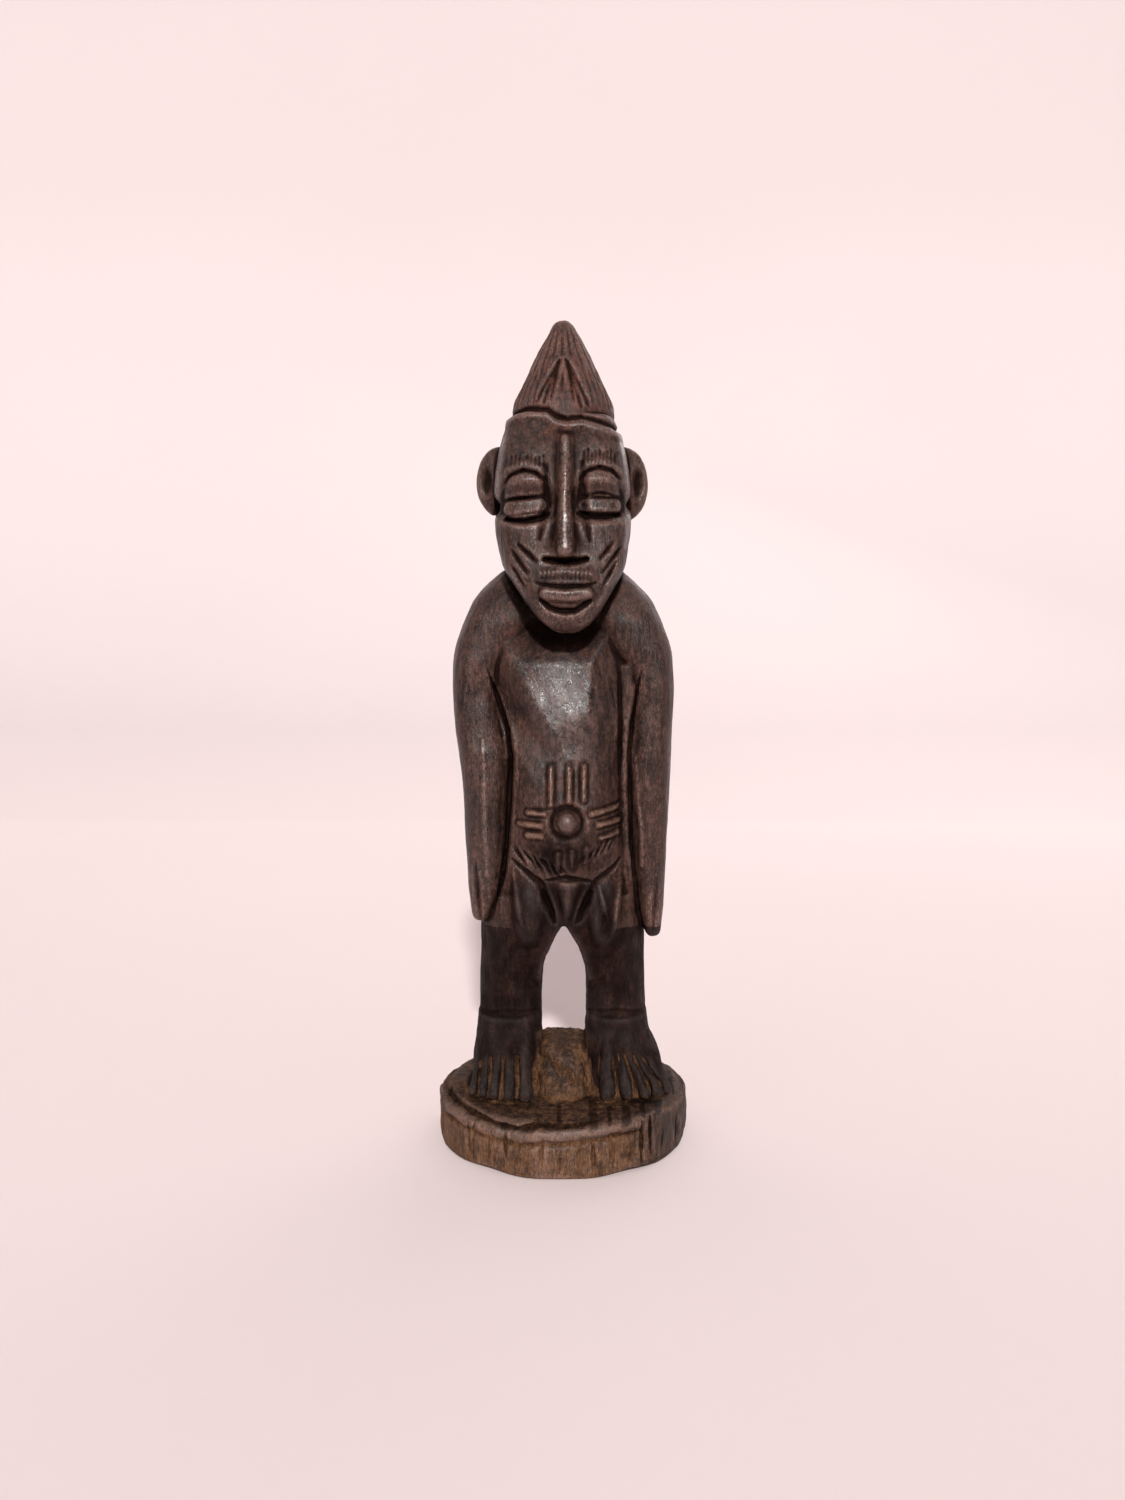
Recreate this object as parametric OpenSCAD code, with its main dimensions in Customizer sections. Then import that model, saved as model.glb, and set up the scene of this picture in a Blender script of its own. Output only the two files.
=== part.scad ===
// Standing figure with a tall ridged coiffure, carved from one piece of wood
// on a round base.
// Millimetres, +Z up. The figure faces -Y, so its own left side is +X.
// Origin: the centre of the flat underside of the base.
// The real figure has no joints: it is one block of wood. Here it is divided
// into its carved regions, which meet face to face on the flat planes that
// the Hidden section names and never overlap.

/* [Whole figure] */
// Height from the underside of the base to the tip of the coiffure
figure_h = 182; // [178:0.5:186]

/* [Base] */
// Diameter of the round base
base_d = 57; // [56:0.5:60]
// Height of the base, where the soles of the feet meet it
base_h = 13; // [11:0.5:14]
// Worn bevel around the top edge
base_bevel = 3.5; // [1:0.5:5]

/* [Legs and feet] */
// Open gap between the legs, right through from front to back
leg_gap = 9.6; // [8:0.2:10]
// Width of one leg seen from the front
leg_w = 13.2; // [12.4:0.2:13.4]
// Height of the scored line around each ankle
ankle_z = 30; // [28:0.5:31]
// Height of the uncut hump of wood between the feet
hump_top = 24; // [20:0.5:25]
// Number of toes on each foot
toe_count = 5; // [4:1:5]

/* [Body] */
// Width across both shoulders
shoulder_w = 49.4; // [48:0.2:50.4]
// How far the belly stands forward of the centre line
belly_front = 16.2; // [15:0.2:16.6]
// Radius of the navel boss
navel_r = 2.6; // [2:0.1:3]

/* [Head] */
// Width of the head across the temples
head_w = 30.4; // [30:0.2:31]
// Width across both ears
ears_w = 37.6; // [36.6:0.2:39]
// Lowest point of the chin, which overhangs the chest
chin_z = 115; // [114:0.5:116]

/* [Coiffure] */
// Width of the cone at its foot
cone_d = 22.6; // [21:0.2:23.4]
// Number of ridges combed up the cone
ridge_count = 22; // [16:1:26]

/* [Hidden] */

// Planes on which the regions meet
hump_x = 5.4;
crotch_z = 50;
waist_z = 66;
arm_x = 13.4;
hip_x = 18.2;
hip_y = -1.5;
nape_z = 124;
skull_z = 129;
throat_y = -10;
ear_x = 14.4;
hair_z = 160;

// Sides of each carved cross-section, and how square its corners are
sides = 28;
squareness = 0.82;
slice_t = 0.02;
far = 80;

dark = "#33261f";
reddish = "#4a3026";
ochre = "#6b4e2e";

// Width of a cross-section at angle a, on a rounded rectangle of half-size 1
function rounded(c) = sign(c) * pow(abs(c), squareness);
function outline(half_w, half_d) = [
    for (a = [0 : 360 / sides : 359.9]) [half_w * rounded(cos(a)), half_d * rounded(sin(a))]
];
// How far forward the skin of a section lies, x away from its centre
function skin(half_w, half_d, x) =
    half_d * pow(1 - pow(abs(x) / half_w, 2 / squareness), squareness / 2);

// A station is [x, y, z, half width, half depth]
module slice(station)
    translate([station[0], station[1], station[2]])
        linear_extrude(slice_t, center = true)
            polygon(outline(station[3], station[4]));

module loft(stations)
    for (i = [0 : len(stations) - 2])
        hull() {
            slice(stations[i]);
            slice(stations[i + 1]);
        }

// A rod with round ends, which may taper
module rod(from, to, r_from, r_to, faces = 16)
    hull() {
        translate(from) sphere(r_from, $fn = faces);
        translate(to) sphere(r_to, $fn = faces);
    }

// The space between two corners
module cell(low, high)
    translate(low) cube(high - low);

// ---- Base ----

facet_angles = [28, 62, 118, 152, 207, 241, 300, 335];
facet_in = 0.5;

module base_outline()
    difference() {
        circle(d = base_d, $fn = 96);
        for (a = facet_angles)
            rotate(a) translate([base_d / 2 - facet_in, -10]) square([5, 20]);
    }

module base()
    color(ochre)
        intersection() {
            linear_extrude(base_h) base_outline();
            rotate_extrude($fn = 96)
                polygon([[0, 0], [base_d / 2, 0], [base_d / 2, base_h - base_bevel],
                    [base_d / 2 - base_bevel, base_h], [0, base_h]]);
        }

// The hump of wood that was left between the feet, a ridge from front to back
module foot_hump()
    color(ochre)
        intersection() {
            hull() {
                cell([-hump_x, -14, base_h], [hump_x, 11, base_h + 1]);
                cell([-hump_x, -3, base_h], [hump_x, 6, hump_top - 2]);
                translate([0, -1, hump_top - 2])
                    rotate([-90, 0, 0]) cylinder(h = 5, r = 2, $fn = 32);
            }
            cell([-hump_x, -20, base_h], [hump_x, 20, hump_top]);
        }

// ---- Legs and feet ----

// Centre line of each leg
leg_x = leg_gap / 2 + leg_w / 2;
toe_r = 1.7;
toe_pitch = 3.15;

// A foot seen as the left foot, with its toes turned outwards by splay degrees
module foot(splay)
    intersection() {
        union() {
            loft([[leg_x, 0.5, ankle_z, leg_w / 2, 7],
                [leg_x, 0, ankle_z - 4, leg_w / 2 + 0.3, 8],
                [leg_x, -1, ankle_z - 8, leg_w / 2 + 0.8, 9.8],
                [leg_x + 0.4, -2, ankle_z - 12, leg_w / 2 + 1.2, 12],
                [leg_x + 0.6, -2.2, base_h - 0.5, leg_w / 2 + 1.6, 12.6]]);
            translate([leg_x, 0, 0])
                rotate(splay)
                    for (i = [0 : toe_count - 1])
                        let (x = (i - (toe_count - 1) / 2) * toe_pitch)
                            rod([x * 0.8, -7, base_h + 5.5],
                                [x, -15.4 + abs(i - 1) * 0.7, base_h + 1.7],
                                toe_r + 0.6, toe_r);
        }
        cell([hump_x, -far, base_h], [far, far, ankle_z]);
    }

module left_foot()
    color(dark) foot(16);

module right_foot()
    color(dark) mirror([1, 0, 0]) foot(4);

// A leg seen as the left leg, with its calf standing back
module leg()
    intersection() {
        loft([[leg_x, 0.5, ankle_z - 1, leg_w / 2, 7],
            [leg_x, 0.5, ankle_z + 1, leg_w / 2, 7],
            [leg_x, 0.8, ankle_z + 4, leg_w / 2 - 0.4, 7.2],
            [leg_x, 1.2, ankle_z + 8, leg_w / 2 - 0.2, 8],
            [leg_x, 1.2, ankle_z + 11, leg_w / 2, 8.6],
            [leg_x, 0.8, ankle_z + 14, leg_w / 2, 9],
            [leg_x, 0.5, ankle_z + 17, leg_w / 2, 9.8],
            [leg_x, 0.5, crotch_z - 1, leg_w / 2 + 0.1, 10.4],
            [leg_x, 0.5, crotch_z + 1, leg_w / 2 + 0.1, 10.8]]);
        cell([0, -far, ankle_z], [hip_x + 1, far, crotch_z]);
    }

module left_leg()
    color(dark) leg();

module right_leg()
    color(dark) mirror([1, 0, 0]) leg();

// ---- Body ----

// The loins: buttocks behind, thighs and a pointed wedge in front
module loins()
    color(dark)
        intersection() {
            union() {
                loft([[0, 0.5, crotch_z - 1, 17, 10.8],
                    [0, 1, crotch_z + 4, 17, 12.4],
                    [0, 1.4, crotch_z + 8, 17, 13.2],
                    [0, 1, crotch_z + 12, 17, 13.4],
                    [0, 0, waist_z - 1, 16, 13.4],
                    [0, -0.4, waist_z + 1, 15.6, 13.4]]);
                for (side = [-1, 1])
                    rod([side * 7.6, -8, crotch_z + 2], [side * 10, -9, waist_z - 4], 4, 4.4);
                rod([0, -8.6, crotch_z + 2.2], [0, -9.6, waist_z - 3], 2, 4.2);
            }
            union() {
                cell([-arm_x, -far, crotch_z], [arm_x, far, waist_z]);
                // Behind the hands the hips go right out to the sides
                cell([-hip_x, hip_y, crotch_z], [hip_x, far, waist_z]);
            }
        }

// Sections of the torso, from the waist to the top of the shoulders
torso_stations = [[0, -0.6, waist_z - 1, 15.4, 13.4],
    [0, -1.2, waist_z + 4, 15, 14.4],
    [0, -1.6, waist_z + 9, 15, 15.1],
    [0, -1.2, waist_z + 15, 15, 13.6],
    [0, -0.4, waist_z + 22, 15, 12.4],
    [0, 0, waist_z + 30, 15.6, 12.6],
    [0, 0.2, waist_z + 38, 17, 13],
    [0, 0.8, waist_z + 45, 18, 12.6],
    [0, 1.2, waist_z + 51, 18, 11.2],
    [0, 1.4, waist_z + 55, 17, 9.6],
    [0, 1.4, nape_z + 0.5, 16, 8.4]];

// Raised scar bars around the navel: [x, z] of each end
bar_r = 0.8;
bar_lift = 0.35;
bars_above = [for (x = [-2.4, 1.4, 4.6]) [[x, 78.6], [x, 86]]];
bars_left = [for (i = [0 : 2]) [[6.6, 77 - i * 2.7], [11.6, 77.4 - i * 2.7]]];
bars_right = [for (i = [0 : 2]) [[-4.8, 76.8 - i * 2.5], [-8.6, 76.8 - i * 2.5]]];
bars_below = [for (x = [-1, 2, 5]) [[x, waist_z + 1.2], [x, waist_z + 4]]];

// A dimension of the torso's section at height z: 1 centre, 3 half width, 4 half depth
function torso_at(z, k) = lookup(z, [for (s = torso_stations) [s[2], s[k]]]);
// A point sunk into the belly's skin so that a rod there stands out by bar_lift
function on_belly(p) =
    [p[0], torso_at(p[1], 1) - skin(torso_at(p[1], 3), torso_at(p[1], 4), p[0]) + bar_r - bar_lift, p[1]];

module scar_bar(bar)
    rod(on_belly(bar[0]), on_belly(bar[1]), bar_r, bar_r);

// Centre of the navel boss
navel_x = 0.9;
navel_z = 74.5;

module torso()
    color(dark)
        difference() {
            union() {
                loft(torso_stations);
                for (bar = concat(bars_above, bars_left, bars_right, bars_below))
                    scar_bar(bar);
                // The flat chest, a broad plane narrowing towards the belly
                hull() {
                    cell([-7, -13.4, 100], [7, -8, 110]);
                    cell([-3.4, -13.6, 88], [3.4, -8, 90]);
                }
            }
            // Flat sides and ends, where the other regions meet the torso
            cell([arm_x, -far, 0], [far, far, figure_h]);
            cell([-far, -far, 0], [-arm_x, far, figure_h]);
            cell([-far, -far, 0], [far, far, waist_z]);
            cell([-far, -far, nape_z], [far, far, figure_h]);
            // The flat that the navel boss stands on
            cell([navel_x - navel_r, -far, navel_z - navel_r],
                [navel_x + navel_r, -belly_front, navel_z + navel_r]);
        }

module navel()
    color(dark)
        difference() {
            translate([navel_x, -belly_front, navel_z]) sphere(navel_r, $fn = 48);
            cell([-10, -belly_front, navel_z - 10], [10, 0, navel_z + 10]);
        }

// ---- Arms ----

// An arm seen as the left arm. It hangs straight down with the elbow a little
// forward and three fingers side by side on the thigh.
module arm(tip_z)
    intersection() {
        union() {
            loft([[11.4, 1.2, nape_z, 3.4, 7.6],
                [11.8, 1.2, nape_z - 2, 6.2, 9],
                [12, 1, nape_z - 5, 9.4, 10.4],
                [12.5, 0.8, nape_z - 9, 11.4, 11.4],
                [13, 0.5, nape_z - 14, shoulder_w / 2 - 13, 11.8],
                [15, 0.3, nape_z - 20, shoulder_w / 2 - 15, 11],
                [17.6, 0.2, nape_z - 26, shoulder_w / 2 - 17.7, 9.2],
                [17.7, -0.2, nape_z - 34, shoulder_w / 2 - 18.2, 8],
                [17.6, -0.8, nape_z - 42, 5.4, 7.4],
                [17.3, -2.4, nape_z - 50, 5, 6.8],
                [17.1, -4.2, nape_z - 58, 4.7, 6],
                [16.9, -5.6, nape_z - 64, 4.2, 4.6]]);
            for (i = [0 : 2])
                let (y = i * 2.4 - 8.6)
                    rod([16.4 + i * 0.6, y, waist_z - 5], [18.2 + i * 0.4, y, tip_z + 1.6], 2.3, 1.6);
        }
        union() {
            cell([arm_x, -far, waist_z], [far, far, nape_z + 5]);
            cell([arm_x, -far, crotch_z], [far, hip_y, waist_z]);
            cell([hip_x, -far, tip_z], [far, hip_y, crotch_z]);
        }
    }

module left_arm()
    color(dark) arm(47);

module right_arm()
    color(dark) mirror([1, 0, 0]) arm(50);

// ---- Neck and head ----

// A short neck, hidden in front by the chin
module neck()
    color(dark)
        intersection() {
            loft([[0, 0.4, nape_z - 1, 11.6, 10.8], [0, 0.2, skull_z + 1, 10.6, 11]]);
            cell([-arm_x, throat_y, nape_z], [arm_x, far, skull_z]);
        }

// Half width of the face plane and the lines of its features
eye_x = 8;
brow_z = 148.6;
eye_z = 141;
nose_top_z = 152;
nose_tip_z = 130.4;
mouth_z = 125;

module head()
    color(dark)
        intersection() {
            union() {
                loft([[0, -18, chin_z, 2.6, 2.4],
                    [0, -17, chin_z + 2, 5.4, 4.2],
                    [0, -14, chin_z + 7, 9.4, 7.6],
                    [0, -8, chin_z + 14, head_w / 2 - 2.8, 13],
                    [0, -5, chin_z + 20, head_w / 2 - 1.2, 15],
                    [0, -2.8, chin_z + 27, head_w / 2, 15.8],
                    [0, -2.2, chin_z + 34, head_w / 2 - 0.3, 15.6],
                    [0, -1.6, chin_z + 40, head_w / 2 - 1.4, 14.8],
                    [0, -0.8, hair_z - 2, head_w / 2 - 2.8, 13.4],
                    [0, -0.6, hair_z, head_w / 2 - 3.6, 12.8]]);
                // Long straight nose, flaring at the nostrils
                rod([0.5, -16.6, nose_top_z], [0.5, -19.8, nose_tip_z + 2], 1.6, 2);
                rod([-2, -19.6, nose_tip_z + 1], [3, -19.6, nose_tip_z + 1], 2.1, 2.1);
                // Brows, heavy lids and lips
                for (side = [-1, 1]) {
                    rod([side * 3, -17, brow_z - 1.4], [side * eye_x, -16.2, brow_z], 1.4, 1.2);
                    rod([side * eye_x, -16.2, brow_z], [side * 12.6, -13, brow_z - 3], 1.2, 1);
                    rod([side * 4.6, -17, eye_z], [side * 12, -14.4, eye_z], 1.6, 1.4);
                }
                rod([-4.6, -18.6, mouth_z + 1.6], [5, -18.6, mouth_z + 1.6], 1.4, 1.4);
                rod([-4, -18.4, mouth_z - 1.8], [4.4, -18.4, mouth_z - 1.8], 1.5, 1.5);
            }
            union() {
                cell([-ear_x, -far, skull_z], [ear_x, far, hair_z]);
                cell([-ear_x, -far, chin_z], [ear_x, throat_y, skull_z]);
            }
        }

// An ear seen as the left ear: a D-shaped plate with a hollow in front
ear_top_z = 154.4;
ear_mid_z = 147.4;
ear_low_z = 141;
ear_t = 5.6;

module ear()
    translate([0, ear_t / 2 - 1, 0])
        rotate([90, 0, 0])
            difference() {
                linear_extrude(ear_t)
                    intersection() {
                        translate([ears_w / 2 - 7, ear_mid_z]) circle(7, $fn = 64);
                        translate([ear_x, ear_low_z]) square([10, ear_top_z - ear_low_z]);
                    }
                translate([ear_x + 1.2, ear_mid_z, ear_t])
                    cylinder(h = 2.4, r = 2, center = true, $fn = 32);
            }

module left_ear()
    color(dark) ear();

module right_ear()
    color(dark) mirror([1, 0, 0]) ear();

// ---- Coiffure ----

// Half width of the cone at height z above the hairline
cone_h = figure_h - hair_z;
rim_h = 2.2;
tip_r = 1.3;

module coiffure()
    color(reddish)
        difference() {
            loft([[0, -0.6, hair_z, 11.9, 12.9],
                [0, -0.4, hair_z + rim_h * 0.6, 12, 12.9],
                [0, -0.2, hair_z + rim_h, cone_d / 2 + 0.2, 12],
                [0, 0, hair_z + cone_h * 0.3, cone_d / 2 * 0.78, 9.4],
                [0, 0, hair_z + cone_h * 0.6, cone_d / 2 * 0.5, 6.2],
                [0, 0, hair_z + cone_h * 0.85, cone_d / 2 * 0.23, 3],
                [0, 0, figure_h - 0.7, tip_r, tip_r + 0.3],
                [0, 0, figure_h - slice_t / 2, 0.5, 0.6]]);
            cell([-far, -far, hair_z - 5], [far, far, hair_z]);
            // Grooves between the ridges, fanning down from the tip
            for (i = [0 : ridge_count - 1])
                let (a = (i + 0.5) * 360 / ridge_count)
                    rod([cos(a) * (cone_d / 2 + 0.5), sin(a) * 12.4, hair_z + rim_h + 0.6],
                        [cos(a) * 2.6, sin(a) * 3, hair_z + cone_h * 0.86], 0.7, 0.35, 8);
        }

base();
foot_hump();
right_foot();
left_foot();
right_leg();
left_leg();
loins();
torso();
navel();
right_arm();
left_arm();
neck();
head();
right_ear();
left_ear();
coiffure();
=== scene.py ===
# %% [markdown]
# # A carved standing figure
# The real thing is one block of dense wood, about as tall as a hand is long: a standing figure with a
# tall ridged coiffure on a round base. A carver takes wood away from a billet and never adds any, so
# the model is made the same way. We keep the wood as a field of distances on a grid, rough out the big
# masses, then cut grooves, slits and scars into it. Only at the end does the field become a mesh.

# %% Load the frame
import bmesh
import bpy
import math
import numpy as np
import openvdb
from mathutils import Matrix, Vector


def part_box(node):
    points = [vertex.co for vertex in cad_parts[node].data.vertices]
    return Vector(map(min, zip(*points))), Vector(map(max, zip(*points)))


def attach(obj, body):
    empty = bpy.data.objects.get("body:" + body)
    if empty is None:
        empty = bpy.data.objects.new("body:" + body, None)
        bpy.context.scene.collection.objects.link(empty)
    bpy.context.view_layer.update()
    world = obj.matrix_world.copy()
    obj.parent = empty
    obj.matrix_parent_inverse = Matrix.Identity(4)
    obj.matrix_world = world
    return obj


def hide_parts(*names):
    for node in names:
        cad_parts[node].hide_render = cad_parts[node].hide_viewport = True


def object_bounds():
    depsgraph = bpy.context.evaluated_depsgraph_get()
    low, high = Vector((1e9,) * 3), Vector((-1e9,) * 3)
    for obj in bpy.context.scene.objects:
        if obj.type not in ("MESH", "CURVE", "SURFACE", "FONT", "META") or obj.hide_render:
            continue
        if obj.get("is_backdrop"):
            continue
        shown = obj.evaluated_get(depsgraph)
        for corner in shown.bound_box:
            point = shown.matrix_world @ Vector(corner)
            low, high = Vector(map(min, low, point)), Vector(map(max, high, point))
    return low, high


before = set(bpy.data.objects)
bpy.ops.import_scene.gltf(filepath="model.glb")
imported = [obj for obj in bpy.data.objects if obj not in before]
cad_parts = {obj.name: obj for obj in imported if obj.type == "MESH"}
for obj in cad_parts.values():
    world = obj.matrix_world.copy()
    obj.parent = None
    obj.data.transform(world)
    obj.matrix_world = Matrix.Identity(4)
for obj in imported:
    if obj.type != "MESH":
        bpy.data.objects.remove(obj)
box_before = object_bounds()
MM = 0.001


def box_mm(node):
    """Lowest and highest corner of a CAD node, in millimetres."""
    low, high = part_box(node)
    return np.array(low) / MM, np.array(high) / MM


# %% [markdown]
# ## Measures
# The sculpture has to fit the CAD regions, so the planes between the regions and the main heights
# come from the frame. Everything else is worked out from these. All lengths here are millimetres.
# The figure faces -Y, so its own left side is +X.

# %% Measures from the frame
base_low, base_high = box_mm("base")
BASE_R = (base_high[1] - base_low[1]) / 2
BASE_TOP = base_high[2]
ANKLE = box_mm("left_leg")[0][2]
CROTCH = box_mm("left_leg")[1][2]
WAIST = box_mm("torso")[0][2]
NAPE = box_mm("torso")[1][2]
SKULL = box_mm("neck")[1][2]
HAIR = box_mm("coiffure")[0][2]
TIP = box_mm("coiffure")[1][2]
CHIN = box_mm("head")[0][2]
ARM_X = box_mm("torso")[1][0]
EAR_X = box_mm("head")[1][0]
HUMP_X = box_mm("foot_hump")[1][0]
HUMP_TOP = box_mm("foot_hump")[1][2]
THROAT_Y = box_mm("neck")[0][1]
NAVEL = (box_mm("navel")[0] + box_mm("navel")[1]) / 2
print("planes:", BASE_TOP, ANKLE, CROTCH, WAIST, NAPE, SKULL, HAIR, TIP, "navel", NAVEL.round(1))

# %% [markdown]
# ## The block
# `Block` holds the distance to the wood's surface on a regular grid: negative inside, positive
# outside. Adding a mass takes the smaller of two distances and cutting takes the larger, and a blend
# rounds the seam between them as a gouge does. A relief line pushes the surface in or pulls it out
# along a drawn line, which is how a carver's V-cut follows the form under it.

# %% The block of wood as a field of distances
GRID = 0.3
FAR = 4.0


def soft_min(a, b, blend):
    if blend <= 0:
        return np.minimum(a, b)
    h = np.clip(0.5 + 0.5 * (b - a) / blend, 0, 1)
    return b + (a - b) * h - blend * h * (1 - h)


def soft_step(edge, value):
    t = np.clip(value / edge + 0.5, 0, 1)
    return t * t * (3 - 2 * t)


def line_distance(x, z, path):
    """Distance in the front view from (x, z) to a drawn line, and how far along it, from 0 to 1."""
    best, along = None, None
    lengths = [math.dist(a, b) for a, b in zip(path, path[1:])]
    start, total = 0.0, sum(lengths)
    for (a, b), length in zip(zip(path, path[1:]), lengths):
        t = ((x - a[0]) * (b[0] - a[0]) + (z - a[1]) * (b[1] - a[1])) / length**2
        t = np.clip(t, 0, 1)
        d = np.hypot(x - a[0] - t * (b[0] - a[0]), z - a[1] - t * (b[1] - a[1]))
        s = (start + t * length) / total
        along = s if best is None else np.where(d < best, s, along)
        best = d if best is None else np.minimum(d, best)
        start += length
    return best, along


class Block:
    def __init__(self, low, high, step):
        self.low, self.step = np.array(low, float), step
        self.axes = [np.arange(low[i], high[i] + step, step, dtype=np.float32) for i in range(3)]
        self.field = np.full([len(a) for a in self.axes], FAR, np.float32)

    def window(self, low, high):
        """The part of the grid between two corners, and its coordinates."""
        cut = []
        for axis, a, b in zip(self.axes, low, high):
            cut.append(slice(int(np.searchsorted(axis, a)), int(np.searchsorted(axis, b))))
        x, y, z = (axis[c] for axis, c in zip(self.axes, cut))
        return tuple(cut), x[:, None, None], y[None, :, None], z[None, None, :]

    def add(self, shape, low, high, blend=0.0):
        cut, x, y, z = self.window(np.array(low) - blend - 1, np.array(high) + blend + 1)
        self.field[cut] = soft_min(self.field[cut], shape(x, y, z), blend)

    def cut(self, shape, low, high, blend=0.0):
        cut, x, y, z = self.window(np.array(low) - blend - 1, np.array(high) + blend + 1)
        self.field[cut] = -soft_min(-self.field[cut], -shape(x, y, z), blend)

    def relief(self, path, width, depth, side=-1, taper=0.0, flat=0.0, reach=0.0):
        """Cuts a line (or raises it, for a negative depth) into the front or the back.

        reach stops a deep cut that far from the middle plane, so that it can't break through."""
        xs, zs = [p[0] for p in path], [p[1] for p in path]
        y_low, y_high = (-40, -reach) if side < 0 else (reach, 40)
        cut, x, y, z = self.window(
            (min(xs) - width, y_low, min(zs) - width), (max(xs) + width, y_high, max(zs) + width)
        )
        d, along = line_distance(x, z, path)
        ends = 1 - taper * np.abs(2 * along - 1) ** 2
        slope = np.clip((1 - d / (width * ends + 1e-6)) / (1 - flat), 0, 1)
        if width > 1.4:
            slope = slope * slope * (3 - 2 * slope)
        held = soft_step(2.0, side * y - reach - 1.0) if reach else 1.0
        self.field[cut] += depth * ends * slope * held

    def patch(self, amount, low, high):
        """Moves the surface by an amount worked out from x, y and z."""
        cut, x, y, z = self.window(low, high)
        self.field[cut] += amount(x, y, z)


block = Block((-30, -30, -1.2), (30, 30, TIP + 1.8), GRID)
relief = block.relief
print("grid", block.field.shape, "cells", block.field.size)

# %% [markdown]
# ## Masses
# Three shapes rough out everything. A loft is a stack of rounded-square sections, which suits a
# body cut from a billet with an adze. A rod is a line with a radius at each end. An egg is an
# ellipsoid. Their sections run smoothly from one height to the next.


# %% Shapes
def smooth_run(z, stations, k):
    """The k-th measure of the stations at height z, without corners."""
    heights = [s[0] for s in stations]
    values = [s[k] for s in stations]
    taps = np.linspace(-1.4, 1.4, 9)
    return sum(np.interp(z + t, heights, values) for t in taps) / len(taps)


def loft(stations, square=2.5, cap=0.8):
    """Sections are (z, centre x, centre y, half width, half depth)."""

    def shape(x, y, z):
        cx, cy, rx, ry = (smooth_run(z, stations, k).astype(np.float32) for k in (1, 2, 3, 4))
        u, v = np.abs((x - cx) / rx), np.abs((y - cy) / ry)
        q = np.maximum((u**square + v**square) ** (1 / square), 1e-3)
        slope = np.hypot(u ** (square - 1) / rx, v ** (square - 1) / ry) * q ** (1 - square)
        side = np.maximum((q - 1) / np.maximum(slope, 1e-3), -np.minimum(rx, ry))
        low, high = stations[0][0], stations[-1][0]
        end = np.abs(z - (low + high) / 2) - (high - low) / 2
        return -soft_min(-side, -end, cap)

    return shape


def loft_box(stations):
    a = np.array(stations)
    return (
        ((a[:, 1] - a[:, 3]).min(), (a[:, 2] - a[:, 4]).min(), a[:, 0].min()),
        ((a[:, 1] + a[:, 3]).max(), (a[:, 2] + a[:, 4]).max(), a[:, 0].max()),
    )


def rod(a, b, ra, rb):
    a, b = np.array(a, float), np.array(b, float)
    ab = b - a

    def shape(x, y, z):
        t = ((x - a[0]) * ab[0] + (y - a[1]) * ab[1] + (z - a[2]) * ab[2]) / (ab @ ab)
        t = np.clip(t, 0, 1)
        dx, dy, dz = x - a[0] - t * ab[0], y - a[1] - t * ab[1], z - a[2] - t * ab[2]
        return np.sqrt(dx * dx + dy * dy + dz * dz) - (ra + (rb - ra) * t)

    return shape


def rod_box(a, b, ra, rb):
    r = max(ra, rb)
    return np.minimum(a, b) - r, np.maximum(a, b) + r


def egg(centre, radii):
    def shape(x, y, z):
        u, v, w = (x - centre[0]) / radii[0], (y - centre[1]) / radii[1], (z - centre[2]) / radii[2]
        q = np.sqrt(u * u + v * v + w * w)
        slope = np.sqrt((u / radii[0]) ** 2 + (v / radii[1]) ** 2 + (w / radii[2]) ** 2)
        return q * (q - 1) / np.maximum(slope, 1e-4)

    return shape


def egg_box(centre, radii):
    return np.array(centre) - radii, np.array(centre) + radii


def plane(point, normal):
    n = np.array(normal, float)
    n /= np.linalg.norm(n)
    return lambda x, y, z: (x - point[0]) * n[0] + (y - point[1]) * n[1] + (z - point[2]) * n[2]


def add_loft(stations, blend, square=2.5, cap=0.8):
    block.add(loft(stations, square, cap), *loft_box(stations), blend)


def add_rod(a, b, ra, rb, blend):
    block.add(rod(a, b, ra, rb), *rod_box(a, b, ra, rb), blend)


def add_egg(centre, radii, blend):
    block.add(egg(centre, radii), *egg_box(centre, radii), blend)


def cut_egg(centre, radii, blend=0.4):
    block.cut(lambda x, y, z: -egg(centre, radii)(x, y, z), *egg_box(centre, radii), blend)


# %% [markdown]
# ## Torso and loins
# The trunk is deep from chest to back, swells forward at the navel and back at the buttocks. The
# shoulders climb almost to the ears, so the figure has no neck from the front.

# %% Torso and loins
trunk = [
    (CROTCH - 14, 0, 1.2, 17.2, 7.6),
    (CROTCH - 9, 0, 1.1, 17.7, 8.8),
    (CROTCH - 4, 0, 1.0, 18.0, 10.4),
    (CROTCH + 1, 0, 1.0, 18.0, 11.8),
    (CROTCH + 5, 0, 1.1, 17.4, 12.6),
    (CROTCH + 9, 0, 1.0, 16.6, 13.0),
    (CROTCH + 14, 0, 0.0, 15.2, 13.4),
    (WAIST + 4, 0, -1.2, 14.0, 14.8),
    (WAIST + 8, 0, -1.8, 13.4, 15.0),
    (WAIST + 14, 0, -1.5, 13.2, 14.2),
    (WAIST + 24, 0, -0.6, 13.8, 13.2),
    (WAIST + 34, 0, 0.0, 15.4, 13.2),
    (WAIST + 41, 0, 0.4, 17.0, 12.8),
    (WAIST + 46, 0, 0.8, 17.6, 11.6),
    (WAIST + 50, 0, 1.2, 17.0, 10.2),
    (WAIST + 54, 0, 1.6, 15.6, 9.4),
    (WAIST + 58, 0, 2.0, 13.4, 8.4),
    (WAIST + 62, 0, 2.2, 10.6, 8.2),
]
add_loft(trunk, 0, cap=2.5)

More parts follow.
